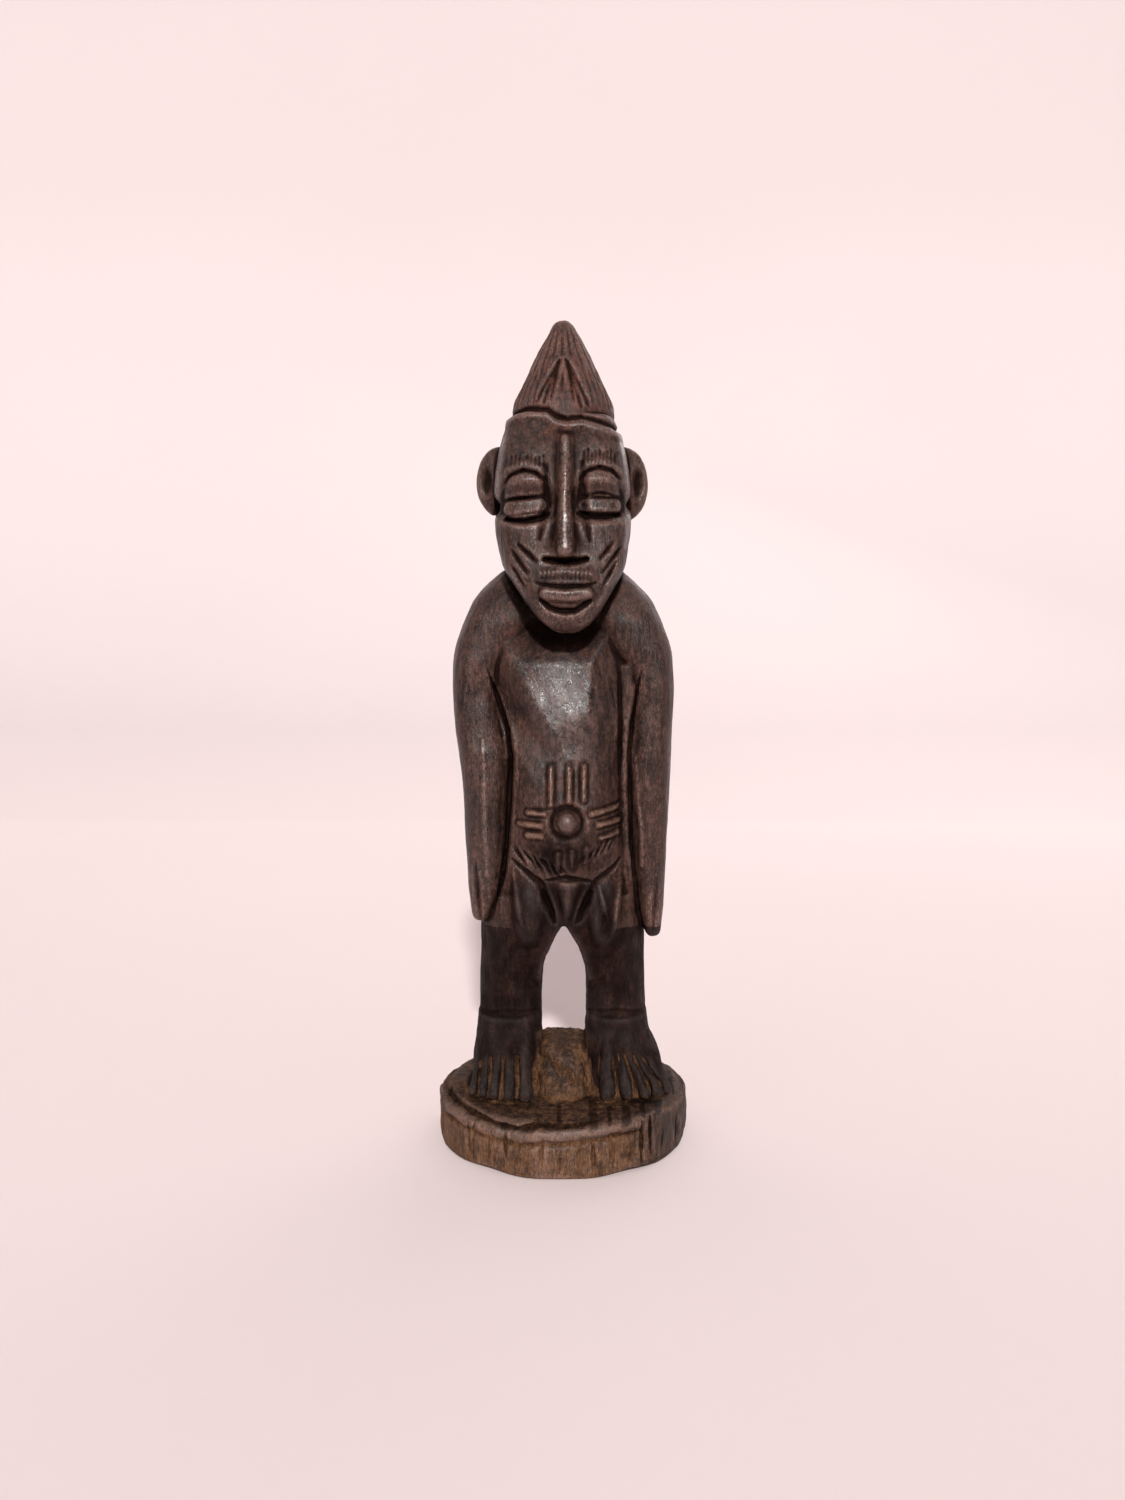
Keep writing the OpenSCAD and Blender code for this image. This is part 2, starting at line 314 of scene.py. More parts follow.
# %% [markdown]
# ## Chest facets
# The chest is one flat facet that narrows to the belly and is polished by hands. A slanting facet
# beside it falls away to the right arm and a narrow one turns towards the left arm.

# %% Chest facets
chest_low, chest_high = (-30, -22, WAIST + 8), (30, -2, NAPE)
facet_edge = (0, -10.9, 108.4)


def right_flank(x, y, z):
    slant = plane((-7.4, -12.2, 100.5), (-0.62, -0.78, -0.2))(x, y, z)
    stop = plane((-5, -13.6, 86.5), (0.1, -0.8, 0.6))(x, y, z)
    return soft_min(slant, stop, 3.5)


block.cut(plane(facet_edge, (0, -1, 0.19)), chest_low, chest_high, 0.3)
block.cut(right_flank, (-15, -22, WAIST + 8), (6, -2, NAPE), 1.3)
block.cut(plane((6.2, -11.9, 102), (0.55, -0.83, 0.14)), (0, -22, WAIST + 8), chest_high, 0.3)
block.cut(plane(facet_edge, (0, -0.86, 0.5)), chest_low, chest_high, 0.3)

# %% [markdown]
# ## Arms
# Both arms hang straight down against the sides. The right one bends a little more at the elbow and
# stands further over the belly; the left one is broader and its hand reaches lower.

# %% Arms
right_arm = [
    (CROTCH + 1.2, -18.3, -6.2, 1.5, 2.2),
    (CROTCH + 3, -18.0, -6.2, 2.3, 3.4),
    (CROTCH + 9, -17.4, -6.0, 3.4, 5.0),
    (WAIST + 2.6, -17.1, -5.4, 4.3, 6.2),
    (WAIST + 14.7, -17.0, -4.6, 4.9, 7.4),
    (WAIST + 22.9, -17.4, -3.4, 5.6, 8.2),
    (WAIST + 28, -18.3, -2.0, 5.5, 8.6),
    (WAIST + 35.5, -19.3, -0.8, 5.1, 8.8),
    (WAIST + 42.5, -18.2, 0.2, 6.1, 9.4),
    (WAIST + 46, -16.2, 0.8, 7.6, 9.6),
    (WAIST + 51.6, -13.4, 1.0, 8.3, 9.4),
    (WAIST + 56.5, -11.0, 1.6, 8.6, 8.4),
    (WAIST + 60, -8.8, 2.0, 7.4, 7.4),
    (WAIST + 63, -7.0, 2.2, 5.6, 6.4),
]
left_arm = [
    (CROTCH - 2.6, 20.2, -5.4, 1.5, 2.4),
    (CROTCH - 0.6, 20.1, -5.4, 2.0, 3.2),
    (CROTCH + 4.4, 19.7, -5.2, 2.8, 4.8),
    (WAIST - 3.3, 19.3, -4.8, 3.5, 5.8),
    (WAIST + 2, 19.2, -4.2, 3.9, 6.4),
    (WAIST + 11.7, 19.2, -3.2, 4.5, 7.4),
    (WAIST + 24, 19.4, -1.8, 4.8, 8.4),
    (WAIST + 31.5, 19.7, -0.8, 4.9, 8.8),
    (WAIST + 38, 19.6, 0.0, 5.2, 9.2),
    (WAIST + 43, 18.0, 0.6, 6.6, 9.6),
    (WAIST + 46, 16.2, 0.8, 7.9, 9.8),
    (WAIST + 51.6, 13.6, 1.0, 8.3, 9.6),
    (WAIST + 56.5, 11.2, 1.6, 8.4, 8.4),
    (WAIST + 60, 8.8, 2.0, 7.4, 7.4),
    (WAIST + 63, 7.0, 2.2, 5.6, 6.4),
]
web = [(CROTCH + 2, 0, 0.8, 17.6, 6.5), (WAIST + 20, 0, 0.8, 17.0, 6.5), (NAPE - 10, 0, 0.8, 16.4, 6.5)]
left_web = [
    (CROTCH + 4, 14.4, -1.4, 2.8, 6.4),
    (WAIST + 20, 14.2, -1.2, 2.6, 7.2),
    (WAIST + 42, 14.4, -1.0, 2.6, 7.0),
]
add_loft(web, 1.0)
add_loft(left_web, 1.0)
add_loft(right_arm, 0.7, square=2.6, cap=1.6)
add_loft(left_arm, 0.7, square=2.4, cap=1.6)

# %% [markdown]
# ## Legs and feet
# Two straight posts with a full calf behind, parted by a slot that runs right through. The feet grow
# out of the base and spread into five toes. A hump of wood was left standing between them.


# %% Legs, feet and the hump between them
SLOT_X = 0.3


def leg(side, toes, turned_out, toe_line):
    """One leg and its foot. toes are (x, radius) at the toe tips, from the big toe outwards."""
    add_loft(
        [
            (ANKLE - 6, side * 12.2, -0.6, 7.2, 8.6),
            (ANKLE - 1, side * 11.7, 0.4, 7.1, 7.4),
            (ANKLE + 3, side * 11.5, 0.7, 7.2, 7.2),
            (ANKLE + 8, side * 11.4, 1.2, 7.2, 8.0),
            (ANKLE + 13, side * 11.2, 1.0, 7.3, 8.9),
            (ANKLE + 17, side * 10.8, 0.7, 7.6, 9.8),
            (ANKLE + 21, side * 10.2, 0.6, 8.1, 10.6),
            (ANKLE + 27, side * 9.4, 0.8, 7.6, 10.8),
        ],
        0.8,
        square=2.6,
    )
    heel = side * 12.0
    ball = side * (12.3 + turned_out)
    add_loft(
        [
            (BASE_TOP - 3, (heel + ball) / 2, -1.4, 7.8 + turned_out * 0.4, 10.8),
            (BASE_TOP + 2, (heel + ball) / 2, -1.4, 7.5 + turned_out * 0.4, 10.2),
            (BASE_TOP + 5, (heel + ball) / 2, -1.2, 7.2 + turned_out * 0.4, 9.9),
            (BASE_TOP + 8, heel + (ball - heel) / 3, -1.0, 7.2 + turned_out * 0.3, 9.6),
            (BASE_TOP + 12, heel, -0.8, 7.3, 9.0),
            (BASE_TOP + 16, heel, 0.0, 7.0, 7.8),
        ],
        0.8,
        square=2.7,
    )
    add_egg((heel, 6.0, BASE_TOP + 3), (6.6, 5.2, 6.0), 1.2)
    for k, (x, r) in enumerate(toes):
        knuckle = (heel + (x - heel) * 0.78, -8.6 + 0.3 * k, BASE_TOP + 9.2 - 0.9 * k)
        tip = (x, toe_line + 0.25 * k * k, BASE_TOP + r * 0.6)
        add_rod(knuckle, tip, r * 0.75 + 0.6, r, 0.7)


leg(-1, [(-8.2, 1.6), (-11.7, 1.4), (-15.0, 1.25), (-17.7, 1.05), (-19.8, 0.9)], 1.0, -15.3)
leg(1, [(10.0, 1.7), (14.3, 1.4), (18.1, 1.3), (21.1, 1.15), (23.3, 0.95)], 3.4, -14.4)
slot_run = [(BASE_TOP, 4.9), (ANKLE, 5.1), (36, 5.1), (40, 4.8), (43, 4.1), (46, 2.9)]
slot_run += [(48.5, 1.6), (50.5, 0.4)]


def slot_shape(x, y, z):
    half = np.interp(z, [p[0] for p in slot_run], [p[1] for p in slot_run], right=-1.5)
    return half.astype(np.float32) - np.abs(x - SLOT_X - 0.3 * (CROTCH - z) / CROTCH) + 0 * y


block.cut(slot_shape, (-7, -20, BASE_TOP - 2), (7, 20, CROTCH + 1), 0.6)
hump = [
    (BASE_TOP - 4, 0, -1.6, 7.0, 13.4),
    (BASE_TOP, 0, -1.4, 6.8, 12.6),
    (BASE_TOP + 4, 0, -0.6, 6.6, 10.6),
    (BASE_TOP + 8, 0, 0.6, 6.6, 8.2),
    (HUMP_TOP - 1.8, 0, 1.2, 6.6, 5.6),
]
add_loft(hump, 1.6, square=2.2, cap=1.6)

# %% [markdown]
# ## Base
# The base is a slice of the log itself: nearly round, cut flat below, with long vertical facets
# from the adze, a worn bevel round the top and a chamfered foot.

# %% Base
facet_turns = np.radians([-14, 14, 41, 63, 88, 114, 140, 166, 192, 218, 246, 274, 301, 326])


def base_shape(x, y, z):
    turn = np.arctan2(y, x)
    r = np.hypot(x, y)
    wobble = 0.25 * np.sin(3 * turn + 0.6) + 0.2 * np.sin(7 * turn + 2)
    side = r - (BASE_R - 0.35 + wobble * 0.6)
    for a in facet_turns:
        side = np.maximum(side, x * np.cos(a) + y * np.sin(a) - (BASE_R - 0.55 + 0.2 * math.sin(5 * a)))
    rim = BASE_TOP - 2.4 + 0.75 * np.sin(2.6 * x / BASE_R + 0.8) + 0.3 * np.sin(0.42 * x + 1.1)
    top = z - (BASE_TOP - 0.75 + 0.035 * y * 0.5 + 0.12 * np.sin(0.5 * x + 0.3 * y))
    bevel = 0.66 * (r - BASE_R + 0.2) + 0.75 * (z - rim)
    chip = 0.5 + 0.4 * np.sin(5.3 * turn + 1) + 0.35 * np.sin(11 * turn + 0.4)
    foot = 0.6 * (r - BASE_R + 0.4 + 0.5 * chip) - 0.8 * (z - 0.3 - 0.3 * chip)
    solid = -soft_min(-side, -top, 0.5)
    solid = -soft_min(-solid, -bevel, 0.35)
    solid = -soft_min(-solid, -foot, 0.25)
    return np.maximum(solid, -z)


block.add(base_shape, (-BASE_R, -BASE_R, 0), (BASE_R, BASE_R, BASE_TOP), 0.9)

# %% [markdown]
# ## Neck and head
# The head is a long mask set forward of the shoulders, so the chin overhangs the chest and throws
# a shadow like a collar. Its crown is a little wider than the foot of the coiffure.

# %% Neck and head
neck = [(NAPE - 6, 0, 1.0, 10.4, 9.6), (SKULL + 4, 0, 0.4, 9.8, 10.2)]
add_loft(neck, 1.5, square=2.2)
skull = [
    (CHIN, 1.0, -16.6, 1.7, 1.9),
    (CHIN + 1, 1.0, -16.4, 3.9, 3.7),
    (CHIN + 3, 0.9, -15.6, 6.1, 5.8),
    (CHIN + 7.4, 0.7, -12.6, 9.0, 9.0),
    (CHIN + 13.5, 0.4, -8.2, 12.9, 12.3),
    (CHIN + 21, 0.1, -4.2, 14.5, 14.6),
    (CHIN + 27, 0.0, -2.2, 14.9, 15.6),
    (CHIN + 33, -0.1, -1.2, 14.6, 15.4),
    (CHIN + 38.5, -0.1, -0.7, 13.8, 14.3),
    (HAIR - 2.5, -0.2, -0.3, 12.6, 13.1),
    (HAIR + 1.2, -0.2, -0.2, 11.2, 12.0),
]
add_loft(skull, 1.2, square=3.7, cap=1.6)

# %% [markdown]
# ## Coiffure
# A straight-sided cone with a blunt tip. Its ridges come later, as a modifier, because they repeat.

# %% Coiffure and ears
cone = [
    (HAIR - 1, -0.1, -0.1, 11.2, 12.0),
    (HAIR + 2.5, 0.1, 0.0, 11.2, 11.8),
    (HAIR + 4.7, 0.2, 0.0, 10.8, 11.3),
    (HAIR + 9.8, 0.2, 0.0, 8.2, 8.6),
    (HAIR + 15.8, 0.2, 0.0, 5.3, 5.5),
    (TIP - 3.0, 0.1, 0.0, 3.5, 3.6),
    (TIP - 1.2, 0.1, 0.0, 2.6, 2.7),
    (TIP + 0.3, 0.1, 0.0, 1.9, 2.0),
]
add_loft(cone, 0.3, square=2.1, cap=1.8)
add_egg((-13.6, -1.0, 147.7), (5.3, 3.0, 7.6), 0.35)
add_egg((13.4, -1.0, 147.2), (5.4, 3.0, 8.0), 0.35)
cut_egg((-17.0, -4.2, 147.6), (1.6, 2.0, 4.6), 0.3)
cut_egg((16.8, -4.2, 147.2), (1.6, 2.0, 4.8), 0.3)

# %% [markdown]
# ## Face
# A long straight nose, half-moon eyelids over a lower lid band, a deep slit under each eye, a
# shelf-like lower lip over a crescent cut, and three slanting scars on each cheek. The carver cut
# these freehand, so the two sides differ a little.

# %% Nose and mouth
MID = 0.5
nose = [
    (130.9, MID + 0.2, -16.2, 4.5, 5.0),
    (132.2, MID, -16.4, 4.4, 5.5),
    (134.5, MID - 0.1, -16.2, 3.4, 5.6),
    (139, MID - 0.1, -15.8, 2.4, 4.8),
    (145, MID, -15.2, 2.0, 4.1),
    (150, MID + 0.1, -14.4, 1.9, 3.2),
    (154.5, MID + 0.1, -13.4, 1.8, 1.7),
]
add_loft(nose, 0.8, square=1.5, cap=0.5)
add_egg((MID + 0.4, -16.2, CHIN + 10.6), (5.6, 5.0, 5.2), 1.6)
nostrils = [(-3.6, 130.3), (-2.0, 130.0), (0.5, 129.8), (3.2, 129.9), (4.9, 130.3)]
relief(nostrils, 0.95, 2.6, taper=0.25)
relief([(-4.0, 127.3), (0.6, 127.8), (5.4, 127.3)], 1.6, -0.5)
mouth = [(-5.6, 125.5), (-3.6, 125.0), (0.5, 124.7), (4.7, 124.8), (7.0, 125.5)]
relief(mouth, 0.55, 0.7, taper=0.4)
relief([(-3.4, 123.2), (0.8, 122.7), (5.0, 123.2)], 1.7, -1.1, flat=0.4)
under_lip = [(-4.5, 121.9), (-2.6, 120.3), (-0.1, 119.6), (2.6, 119.7), (5.7, 121.7)]
relief(under_lip, 1.0, 1.6, taper=0.4)
for i in range(12):
    x = -4.2 + i * 0.86
    relief([(x, 126.2), (x + 0.1, 128.4 + 0.3 * math.sin(i * 2.3))], 0.34, 0.35)

# %% [markdown]
# ## Eyes, cheeks and brows
# The two eyes are the same few cuts on either side of the nose, so `eye` makes both from drawn lines. A
# dome stands under the upper arc, a band under the lid, and a deep slit under the band.

# %% Eyes, cheeks and brows
right_arc = [(-12.3, 146.2), (-10.9, 147.8), (-8.2, 148.8), (-5.7, 148.2), (-3.4, 146.6)]
left_arc = [(3.6, 146.8), (5.1, 148.6), (7.6, 149.4), (10.3, 148.8), (12.1, 147.2)]


def eye(arc, lid, band, slit, slit_depth):
    """The upper lid is a half-moon between arc and lid, the lower lid a band under it."""
    middle = ((arc[0][0] + arc[-1][0]) / 2, (lid[0][1] + lid[-1][1]) / 2)
    half_w = (arc[-1][0] - arc[0][0]) / 2
    half_h = arc[2][1] - middle[1]

    def half_moon(x, y, z):
        u, w = (x - middle[0]) / half_w, (z - middle[1]) / half_h
        dome = np.clip(1 - u * u - w * w, 0, 1) ** 0.5 * soft_step(0.7, z - middle[1])
        return -1.1 * dome + 0 * y

    socket = [(arc[0][0] + 1.4, middle[1] - 1.2), (arc[-1][0] - 1.4, middle[1] - 1.2)]
    relief(socket, 5.0, 1.7, flat=0.35)
    block.patch(half_moon, (arc[0][0] - 1, -40, middle[1] - 1), (arc[-1][0] + 1, 0, arc[2][1] + 1))
    relief(arc, 0.65, 1.0, taper=0.4)
    relief([(x, z + 1.5) for x, z in arc], 1.5, -0.45, taper=0.5)
    relief(lid, 0.45, 0.8, taper=0.3)
    relief(band, 1.6, -0.75, flat=0.75)
    relief(slit, 1.0, slit_depth, taper=0.35)


eye(
    right_arc,
    [(-12.2, 142.9), (-8.2, 143.2), (-3.6, 143.7)],
    [(-10.9, 141.0), (-4.6, 141.6)],
    [(-11.8, 138.8), (-10.3, 138.4), (-7.8, 138.2), (-4.7, 138.8), (-3.0, 139.7)],
    2.8,
)
eye(
    left_arc,
    [(3.8, 143.5), (7.6, 144.1), (10.1, 143.9), (12.2, 143.4)],
    [(4.8, 141.7), (10.9, 141.6)],
    [(3.4, 139.8), (5.7, 139.2), (8.9, 139.1), (11.8, 139.7)],
    1.7,
)
relief([(-3.5, 150.0), (-3.4, 142), (-4.8, 134.6)], 1.5, 0.8, taper=0.5)
relief([(4.2, 150.5), (4.2, 142), (5.6, 134.4)], 1.5, 1.0, taper=0.5)
add_rod((MID, -14.4, 155.2), (MID, -21.3, 132.2), 1.1, 1.5, 1.1)
cheek_scars = [
    [(-9.3, 133.5), (-5.2, 129.7)],
    [(-10.7, 132.3), (-7.2, 127.3)],
    [(-10.5, 128.8), (-8.0, 124.8)],
    [(10.6, 133.9), (7.7, 130.4)],
    [(12.1, 132.9), (8.3, 127.5)],
    [(11.2, 130.0), (8.5, 124.8)],
]
for scar in cheek_scars:
    relief(scar, 0.65, 1.0, taper=0.5)
for i in range(9):
    relief([(4.4 + i * 0.82, 150.4), (4.6 + i * 0.82, 152.9 + 0.5 * math.sin(i * 2.1))], 0.34, 0.45)
    relief([(-10.7 + i * 0.84, 149.8), (-10.7 + i * 0.84, 151.8 + 0.4 * math.sin(i * 1.7))], 0.32, 0.35)

# %% [markdown]
# ## Hairline
# The coiffure sits in a shallow step cut all round the crown. In front the step dips to a plain
# patch above the nose.

# %% Hairline
hairline = [(-11.6, 161.2), (-10.4, 161.9), (-6.9, 162.3), (-3.2, 161.9), (-1.2, 160.3), (1.0, 159.8)]
hairline += [(3.9, 160.2), (8.0, 159.3), (12.0, 158.0)]
relief(hairline, 0.8, 0.9)
relief([(x, z - 1.5) for x, z in hairline], 1.6, -0.5)
nape_line = [(-12.4, 161.2), (-6, 160.6), (0, 160.2), (6, 159.6), (12.4, 158.4)]
relief(nape_line, 0.9, 0.9, side=1)

# %% [markdown]
# ## Belly and scars
# Raised bars stand above, beside and below the navel, each made by cutting a trench round it.

# %% Belly
bars = [[(-2.5, 86.2), (-2.5, 78.3)], [(1.4, 86.2), (1.4, 79.0)], [(4.6, 86.4), (4.6, 79.4)]]
bars += [[(-7.4, 76.6), (-3.9, 76.4)], [(-9.3, 74.0), (-4.7, 73.8)], [(-7.6, 71.6), (-4.7, 71.5)]]
bars += [[(6.2, 76.2), (12.0, 77.3)], [(7.7, 73.8), (12.4, 74.3)], [(8.4, 70.8), (11.9, 71.6)]]
low_bars = [[(-1.0, 67.4), (-1.1, 63.6)], [(2.0, 67.9), (2.1, 64.4)], [(5.1, 68.7), (5.1, 65.3)]]
for bar in bars + low_bars:
    relief(bar, 1.5, 0.45, flat=0.3)
    relief(bar, 0.9, -1.05 if bar in bars else -0.7, flat=0.25)
nx, ny, nz = NAVEL[0], block.low[1], NAVEL[2]
block.patch(
    lambda x, y, z: 0.7 * np.clip(1 - np.abs(np.hypot(x - nx, z - nz) - 3.3) / 1.0, 0, 1) + 0 * y,
    (nx - 5, -30, nz - 5),
    (nx + 5, 0, nz + 5),
)
add_egg((nx, -16.0, nz), (2.3, 2.5, 2.4), 0.3)

# %% [markdown]
# ## Loins and thighs
# The thighs are two long swellings, parted from the belly by V-cuts along the groin, with a wedge of
# wood between them. Each swelling is an egg blended into the block, which leaves no seam.

# %% Loins and thighs
right_groin = [(-11.0, 65.6), (-8.8, 63.9), (-5.0, 60.6), (-2.9, 55.6), (-1.7, 51.4)]
left_groin = [(12.6, 65.6), (11.2, 63.9), (7.5, 60.9), (5.1, 56.4), (3.0, 51.4)]
relief(right_groin, 1.1, 1.5, taper=0.6)
relief(left_groin, 1.1, 1.5, taper=0.6)
for side, x in ((-1, -7.2), (1, 8.8)):
    add_egg((x, -6.3, CROTCH + 4.5), (4.9, 6.9, 10.0), 1.0)
wedge = [
    (50.9, 0.8, -9.0, 0.5, 1.4),
    (53.5, 0.9, -9.4, 1.7, 3.2),
    (57, 1.1, -9.8, 2.7, 4.3),
    (61, 1.2, -9.8, 3.8, 4.4),
]
add_loft(wedge, 0.3, square=1.7, cap=0.6)
relief([(-3.4, 61.2), (0.6, 62.1), (6.2, 60.9)], 0.6, 0.9, taper=0.3)
relief([(-4.4, 58.5), (-2.4, 53.8), (-1.9, 51.6)], 1.0, 2.2, taper=0.5)
relief([(6.3, 58.5), (4.3, 53.8), (3.6, 51.8)], 1.0, 2.2, taper=0.5)
cut_egg((9.9, -14.2, 49.6), (2.2, 2.9, 6.0), 1.2)
relief([(-10.9, 63.6), (-10.2, 57), (-8.8, 51.0)], 1.0, -0.5, taper=0.6)
relief([(7.9, 60), (10.2, 51.5)], 0.8, -0.5, taper=0.5)
relief([(12.9, 61), (11.6, 52)], 0.9, -0.5, taper=0.5)

# %% [markdown]
# ## Cuts between the arms and the body
# A cut parts each arm from the flank. It stops short of the middle plane, so that the arm stays one
# with the body along its whole length.

# %% Cuts between the arms and the body
right_cut = [(-16.2, 107.0), (-15.0, 103), (-13.4, 98.5), (-11.9, 93.5), (-11.2, 88), (-11.6, 79)]
right_cut += [(-12.2, 69), (-13.2, 61), (-15.2, 54)]
relief(right_cut, 1.0, 2.3, taper=0.75, reach=3.5)
left_cut = [(17.3, 107.5), (16.4, 103), (15.2, 96), (14.6, 89), (14.7, 80), (15.0, 70), (15.6, 61)]
relief(left_cut, 0.8, 1.5, taper=0.75, reach=3.5)
relief([(12.4, 106), (12.6, 96), (12.4, 84)], 0.8, 0.7, taper=0.5)
relief([(-17.2, 92), (-17.0, 78), (-16.6, 62)], 1.6, -0.5, taper=0.5)
relief([(15.9, 88), (16.5, 77), (17.4, 70.8), (17.4, 64)], 0.8, -0.45, taper=0.3)
relief([(-19.0, 66), (-18.6, 57), (-17.9, 51.6)], 0.9, 0.7, taper=0.8, reach=3)
relief([(20.8, 62), (20.4, 55), (20.0, 49)], 0.9, 0.5, taper=0.8, reach=3)
for side in (-1, 1):
    back_cut = [(side * x, z) for x, z in ((16.2, 112), (14.4, 104), (13.6, 92), (13.8, 78), (14.8, 66))]
    relief(back_cut, 2.2, 2.2, side=1, taper=0.6, reach=2)

# %% [markdown]
# ## The back
# The back is a plain guess: a groove for the spine, two shoulder blades, two buttocks and a fold
# behind each knee.

# %% The back
relief([(0, 119), (0.4, 100), (-0.3, 82), (0, 69)], 3.6, 1.2, side=1, taper=0.5)
for side in (-1, 1):
    add_egg((side * 7.0, 8.4, CROTCH + 9), (7.2, 6.2, 7.6), 1.4)
    add_egg((side * 7.2, 9.6, WAIST + 42), (5.6, 3.6, 7.0), 1.6)
    relief([(side * 4.0, ANKLE + 21), (side * 16, ANKLE + 20.4)], 1.8, 0.7, side=1, taper=0.4)
relief([(0, 66), (0, 58), (0, 50)], 1.8, 2.6, side=1, taper=0.2)

# %% [markdown]
# ## Ankles, toes and cracks
# A fine line rings each ankle. The rim of the base has split a little, as a log does when it dries,
# and the adze left short upright cuts round the side.

# %% Ankles, toes and cracks
relief([(-18.2, 29.5), (-12, 30.3), (-5.6, 30.0)], 0.4, 0.3)
relief([(6.0, 30.0), (12, 30.6), (17.8, 29.8)], 0.4, 0.3)
rim_crack = [(-25.5, 11.4), (-22.5, 11.3), (-16.5, 10.9), (-9.3, 10.5), (-5.4, 11.3), (-0.3, 11.2)]
rim_crack += [(4.8, 11.8), (10.6, 12.2), (16, 12.3)]


def on_rim(drop, width, depth):
    """A mark along the crack, or below it, on the outer face of the base only."""
    path = [(x, z - drop) for x, z in rim_crack]

    def amount(x, y, z):
        outer = soft_step(1.2, np.hypot(x, y) - BASE_R + 3.0)
        return depth * np.clip(1.2 * (1 - line_distance(x, z, path)[0] / width), 0, 1) * outer

    block.patch(amount, (-29, -29, 2), (29, -4, BASE_TOP + 1))


on_rim(0, 0.7, 1.0)
on_rim(1.7, 1.3, -0.4)
on_rim(3.4, 0.9, 0.4)
for i in range(26):
    x = -27 + i * 2.15 + 0.8 * math.sin(i * 2.7)
    high = 7.6 + 2.4 * math.sin(i * 1.9)
    low = 1.6 + 1.4 * math.sin(i * 3.1)
    for side in (-1, 1):
        deep = 0.35 + 0.3 * math.sin(i * 5.3)
        relief([(x, high), (x + 0.25 * side, low)], 0.45, deep, side=side, taper=0.6)
for x, high, low in ((-12.2, 9.6, 4), (16.8, 11, 1), (18.8, 11.5, 2.5), (-20.4, 9.5, 3), (6.4, 8.5, 3)):
    relief([(x, high), (x + 0.2, low)], 0.5, 1.0, taper=0.6)

# %% [markdown]
# ## Gaps between the toes, hatching on the belly, chisel marks on the hump
# A V-cut parts each toe from the next. The short strokes are placed by sine waves and not by chance,
# so that every run gives the same marks.

# %% Gaps between the toes, hatching on the belly, chisel marks on the hump
right_gaps = ((-18.3, -18.8, 19.5, 0.5), (-16.0, -16.4, 20.5, 0.6), (-13.2, -13.4, 21.0, 0.9))
for top_x, low_x, high, wide in right_gaps:
    relief([(top_x, high), (low_x, 13.8)], wide, 1.5, taper=0.3)
relief([(-9.9, 21.0), (-9.9, 13.8)], 0.9, 1.5, taper=0.3)
for top_x, low_x, high in ((11.2, 12.2, 21.0), (13.8, 16.2, 21.2), (15.8, 19.6, 21.0), (17.8, 22.2, 20.5)):
    relief([(top_x, high), (low_x, 14.0)], 0.65, 1.3, taper=0.3)
for i in range(15):
    x, z = -10.8 + 0.72 * i, 68.6 - 0.32 * i + 0.7 * math.sin(i * 2.4)
    relief([(x, z), (x + 1.5, z - 2.4 - 0.8 * math.sin(i * 1.3))], 0.45, 0.75, taper=0.4)
for i in range(9):
    x, z = 3.6 + 0.8 * i, 65.0 + 0.45 * i + 0.6 * math.sin(i * 2.9)
    relief([(x, z), (x + 0.9, z + 1.9)], 0.45, 0.6, taper=0.4)
for i in range(22):
    x, z = -5.0 + 10 * (i * 0.618 % 1), 14.5 + 6.2 * (i * 0.383 % 1)
    for side in (-1, 1):
        relief([(x, z + 1.5), (x + 0.4 * math.sin(i), z - 1.3)], 0.7, 0.6, side=side, taper=0.5, reach=4)
print("inside cells", int((block.field < 0).sum()))

# %% [markdown]
# ## Strokes on the front of the coiffure
# In front the coiffure isn't combed. Six longer strokes fan out there from a point below the tip.

# %% Strokes on the front of the coiffure
stroke_feet = ((-5.6, 163.6), (-4.1, 163.2), (-2.5, 164.2), (2.5, 163.9), (4.0, 162.4), (5.5, 162.8))
for foot_x, foot_z in stroke_feet:
    top = (0.1 + foot_x * 0.2, 173.6 - abs(foot_x) * 0.2)
    relief([top, (foot_x, foot_z)], 0.62, 0.75, taper=0.4)
relief([(0.2, 171.6), (-0.2, 166)], 0.6, 0.5, taper=0.4)

# %% [markdown]
# ## From field to mesh
# The surface where the distance is nought becomes one closed mesh.

# %% Mesh the field
BAND = 1.2
volume = openvdb.FloatGrid(background=BAND)
volume.copyFromArray(np.clip(block.field, -BAND, BAND))
points, triangles, quads = volume.convertToPolygons(isovalue=0.0)
points_grid = np.array(points, np.float64)
points = points_grid * GRID + block.low
faces = np.array(quads)[:, ::-1]
a, b, c = (points[faces[:, i]] for i in (0, 1, 2))
volume_sign = np.einsum("ij,ij->i", np.cross(a, b), c).sum()
print("points", len(points), "quads", len(quads), "triangles", len(triangles), "sign", volume_sign > 0)


def mesh_from(name, vertices, polygons):
    mesh = bpy.data.meshes.new(name)
    mesh.vertices.add(len(vertices))
    mesh.vertices.foreach_set("co", vertices.astype(np.float32).ravel())
    mesh.loops.add(polygons.size)
    mesh.loops.foreach_set("vertex_index", polygons.astype(np.int32).ravel())
    mesh.polygons.add(len(polygons))
    mesh.polygons.foreach_set("loop_start", np.arange(0, polygons.size, polygons.shape[1], dtype=np.int32))
    mesh.update()
    mesh.validate()
    return mesh


if volume_sign < 0:
    faces = faces[:, ::-1]
sculpt_mesh = mesh_from("sculpture", points * MM, faces)
sculpt_mesh.shade_smooth()
sculpt = bpy.data.objects.new("sculpture", sculpt_mesh)
bpy.context.scene.collection.objects.link(sculpt)

